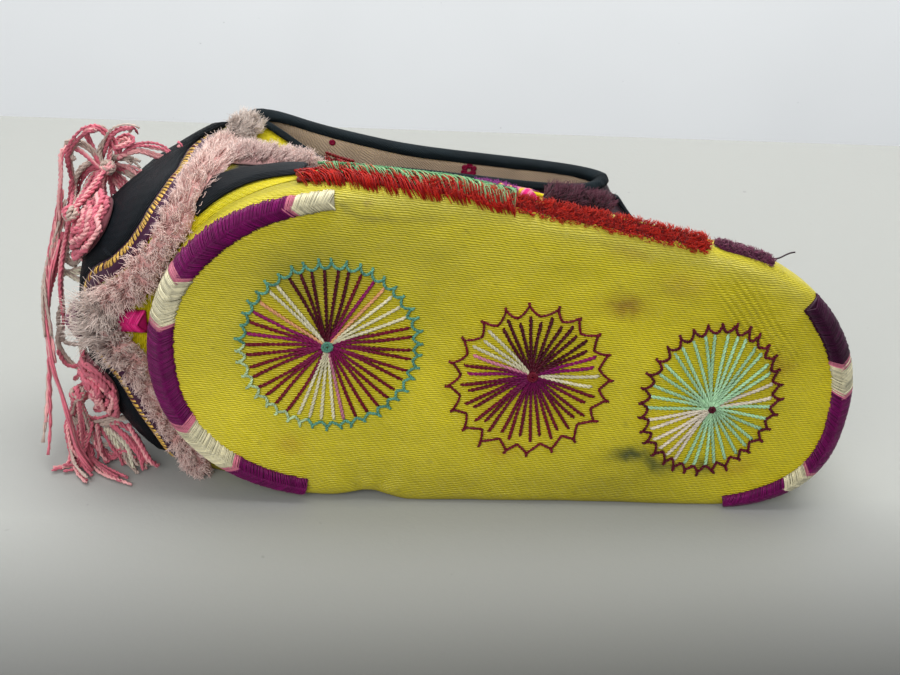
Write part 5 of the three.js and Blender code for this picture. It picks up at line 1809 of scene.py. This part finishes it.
LOWER_LOOPS = (
    ("pink", (-11.9, -28.6, 14), (-12.9, -33.2, 12), (-13.8, -36.4, 9), (-17.2, -37.0, 7.5)),
    ("pink", (-10.8, -29.0, 14), (-9.7, -34.1, 12), (-7.7, -37.0, 10)),
    ("pink", (-8.1, -28.7, 14), (-4.0, -31.0, 12), (-1.2, -33.2, 10), (0.1, -36.5, 8)),
    ("grey", (-9.5, -29.5, 15), (-6.2, -31.9, 13), (-3.6, -35.2, 10), (-1.4, -37.0, 7)),
    ("pink", (-7.3, -28.1, 14), (-3.8, -29.1, 13), (-1.0, -31.3, 11), (1.1, -34.1, 9)),
    ("grey", (-14.9, -25.4, 17), (-16.8, -28.7, 16), (-12.4, -29.8, 15), (-7.1, -27.6, 14),
     (-3.9, -26.2, 13)),
    ("pink", (-16.4, -21.2, 18), (-14.4, -19.0, 18), (-10.3, -18.6, 18), (-6.7, -19.9, 16),
     (-5.6, -23.1, 15)),
    ("pink", (-16.0, -23.1, 18), (-12.9, -21.4, 19), (-8.9, -21.8, 18), (-7.3, -23.9, 16),
     (-9.7, -27.1, 16)),
    ("pink", (-14.9, -26.3, 17), (-12.6, -23.7, 18), (-9.7, -24.4, 18), (-9.9, -26.3, 17),
     (-12.4, -27.1, 17)),
    ("pink", (-16.8, -24.2, 18), (-16.1, -27.5, 17), (-12.2, -29.4, 16), (-7.5, -27.3, 15),
     (-5.0, -23.0, 14)),
    ("cream", (-16.9, -27.5, 17), (-13.8, -29.6, 16), (-9.5, -29.5, 15), (-4.5, -26.4, 14)),
    ("grey", (-17.6, -29.0, 16), (-13.6, -30.9, 15), (-9.5, -29.5, 15), (-5.6, -28.5, 14)),
    ("pink", (-14.5, -22.1, 19), (-11.6, -23.2, 19), (-9.3, -24.8, 18)),
    ("pink", (-14.9, -30.1, 15), (-14.9, -33.3, 13), (-13.2, -36.4, 11)),
    ("pink", (-13.7, -29.9, 15), (-13.0, -33.2, 14), (-10.7, -35.4, 13), (-11.0, -37.5, 10)),
    ("grey", (-12.4, -29.8, 15), (-11.3, -33.1, 14), (-8.7, -33.7, 13), (-7.6, -31.7, 14),
     (-10.3, -31.6, 15)),
    ("pink", (-12.0, -30.3, 15), (-10.3, -33.8, 13), (-7.2, -35.9, 12), (-4.4, -33.1, 12),
     (-1.1, -34.4, 10)),
    ("pink", (-10.3, -30.1, 15), (-7.4, -33.0, 13), (-3.9, -36.8, 10)),
    ("cream", (-9.5, -30.5, 15), (-5.2, -34.2, 12), (-3.1, -36.8, 10)),
    ("cream", (-8.5, -29.8, 14), (-4.4, -32.1, 12), (-1.3, -36.3, 9)),
    ("pink", (-7.7, -29.2, 14), (-3.2, -30.9, 12), (-0.3, -33.4, 10), (-0.3, -36.8, 8)),
    ("pink", (-14.4, -31.5, 15), (-15.9, -35.3, 12), (-16.4, -37.0, 10), (-19.3, -37.6, 8)),
    ("pink", (-16.4, -27.4, 16), (-17.2, -31.2, 14), (-14.1, -35.2, 11), (-10.8, -37.0, 9)),
    ("pink", (-4.3, -27.7, 13), (-1.3, -31.0, 10), (1.6, -33.9, 8), (3.3, -34.9, 8)),
)
TONES = {"pink": (PINK, PALE_PINK, PINK * 0.85), "grey": (GREY_YARN, GREY_YARN * 0.85),
         "cream": (CREAM_YARN, GREY_YARN)}
STAR = (-12.8, 22.3, 30.5)
STAR_TIPS = (
    ("grey", (-15.7, 22.2, 33), (-18.3, 20.1, 33), (-19.4, 17.1, 32), (-19.4, 14.6, 31)),
    ("pink", (-16.3, 20.8, 33), (-19.0, 17.4, 33), (-19.5, 12.5, 32), (-18.1, 10.9, 31)),
    ("pink", (-15.6, 19.6, 34), (-17.5, 15.3, 34), (-16.8, 10.8, 33)),
    ("cream", (-15.9, 17.8, 35), (-17.1, 12.7, 35), (-17.5, 7.8, 33), (-16.7, 4.4, 31)),
    ("cream", (-15.3, 17.8, 34), (-16.6, 12.0, 34), (-16.5, 5.3, 32)),
    ("pink", (-13.9, 18.0, 34), (-13.6, 14.9, 33), (-13.8, 12.1, 32)),
    ("pink", (-12.3, 18.7, 34), (-9.0, 15.8, 32), (-6.8, 12.4, 29), (-5.8, 9.3, 27)),
    ("pink", (-11.5, 19.6, 34), (-8.8, 17.2, 33), (-7.4, 14.4, 31), (-6.2, 10.6, 28)),
    ("grey", (-11.1, 20.6, 34), (-7.7, 20.1, 33), (-4.9, 18.5, 31), (-4.1, 16.4, 30)),
    ("pink", (-11.1, 21.5, 34), (-7.3, 21.0, 33), (-4.2, 18.6, 32), (-2.6, 15.9, 30)),
    ("pink", (-10.7, 21.1, 34), (-6.4, 19.3, 33), (-4.4, 17.2, 31)),
    ("grey", (-12.4, 22.7, 34), (-9.0, 23.5, 33), (-6.0, 22.4, 32)),
    ("pink", (-12.6, 17.7, 34), (-12.0, 15.9, 33), (-11.6, 14.8, 32)),
)


def tassel(name, spot, routes, loops, cords, spread, nodes, seed, star=None):
    rng = np.random.default_rng(seed)
    knot = knot_at(spot)
    routes = [np.concatenate([knot[None], shoe_route(route)]) for route in routes]
    mixed = (PINK, PINK, PALE_PINK, GREY_YARN, PINK * 0.85)
    parts = strands(rng, routes, cords, spread, mixed)
    parts += wound_knot(knot, 1.3, (PINK, GREY_YARN), rng)
    for tone, *points in loops:
        parts += strands(rng, [shoe_route(points)], 3, 0.8, TONES[tone], 0.46, 24, 0.06)
    if star:
        centre = shoe_route([star])[0]
        parts += wound_knot(centre, 1.2, (GREY_YARN, PALE_PINK), rng)
        parts += strands(rng, [np.stack([knot, centre])], 4, 0.9, mixed, ragged=0.02)
        for tone, *points in STAR_TIPS:
            route = np.concatenate([centre[None], shoe_route(points)])
            parts += strands(rng, [route], 5, 1.0, TONES[tone], 0.46, 20, 0.3)
    joined_piece(name, parts, wool, nodes)


tassel("yarn_upper", UPPER_COIL, UPPER_STRANDS, UPPER_LOOPS, 4, 0.9, ["tassel_upper"], 311, STAR)
tassel("yarn_lower", LOWER_COIL, LOWER_STRANDS, LOWER_LOOPS, 6, 1.3, ["tassel_lower"], 312)
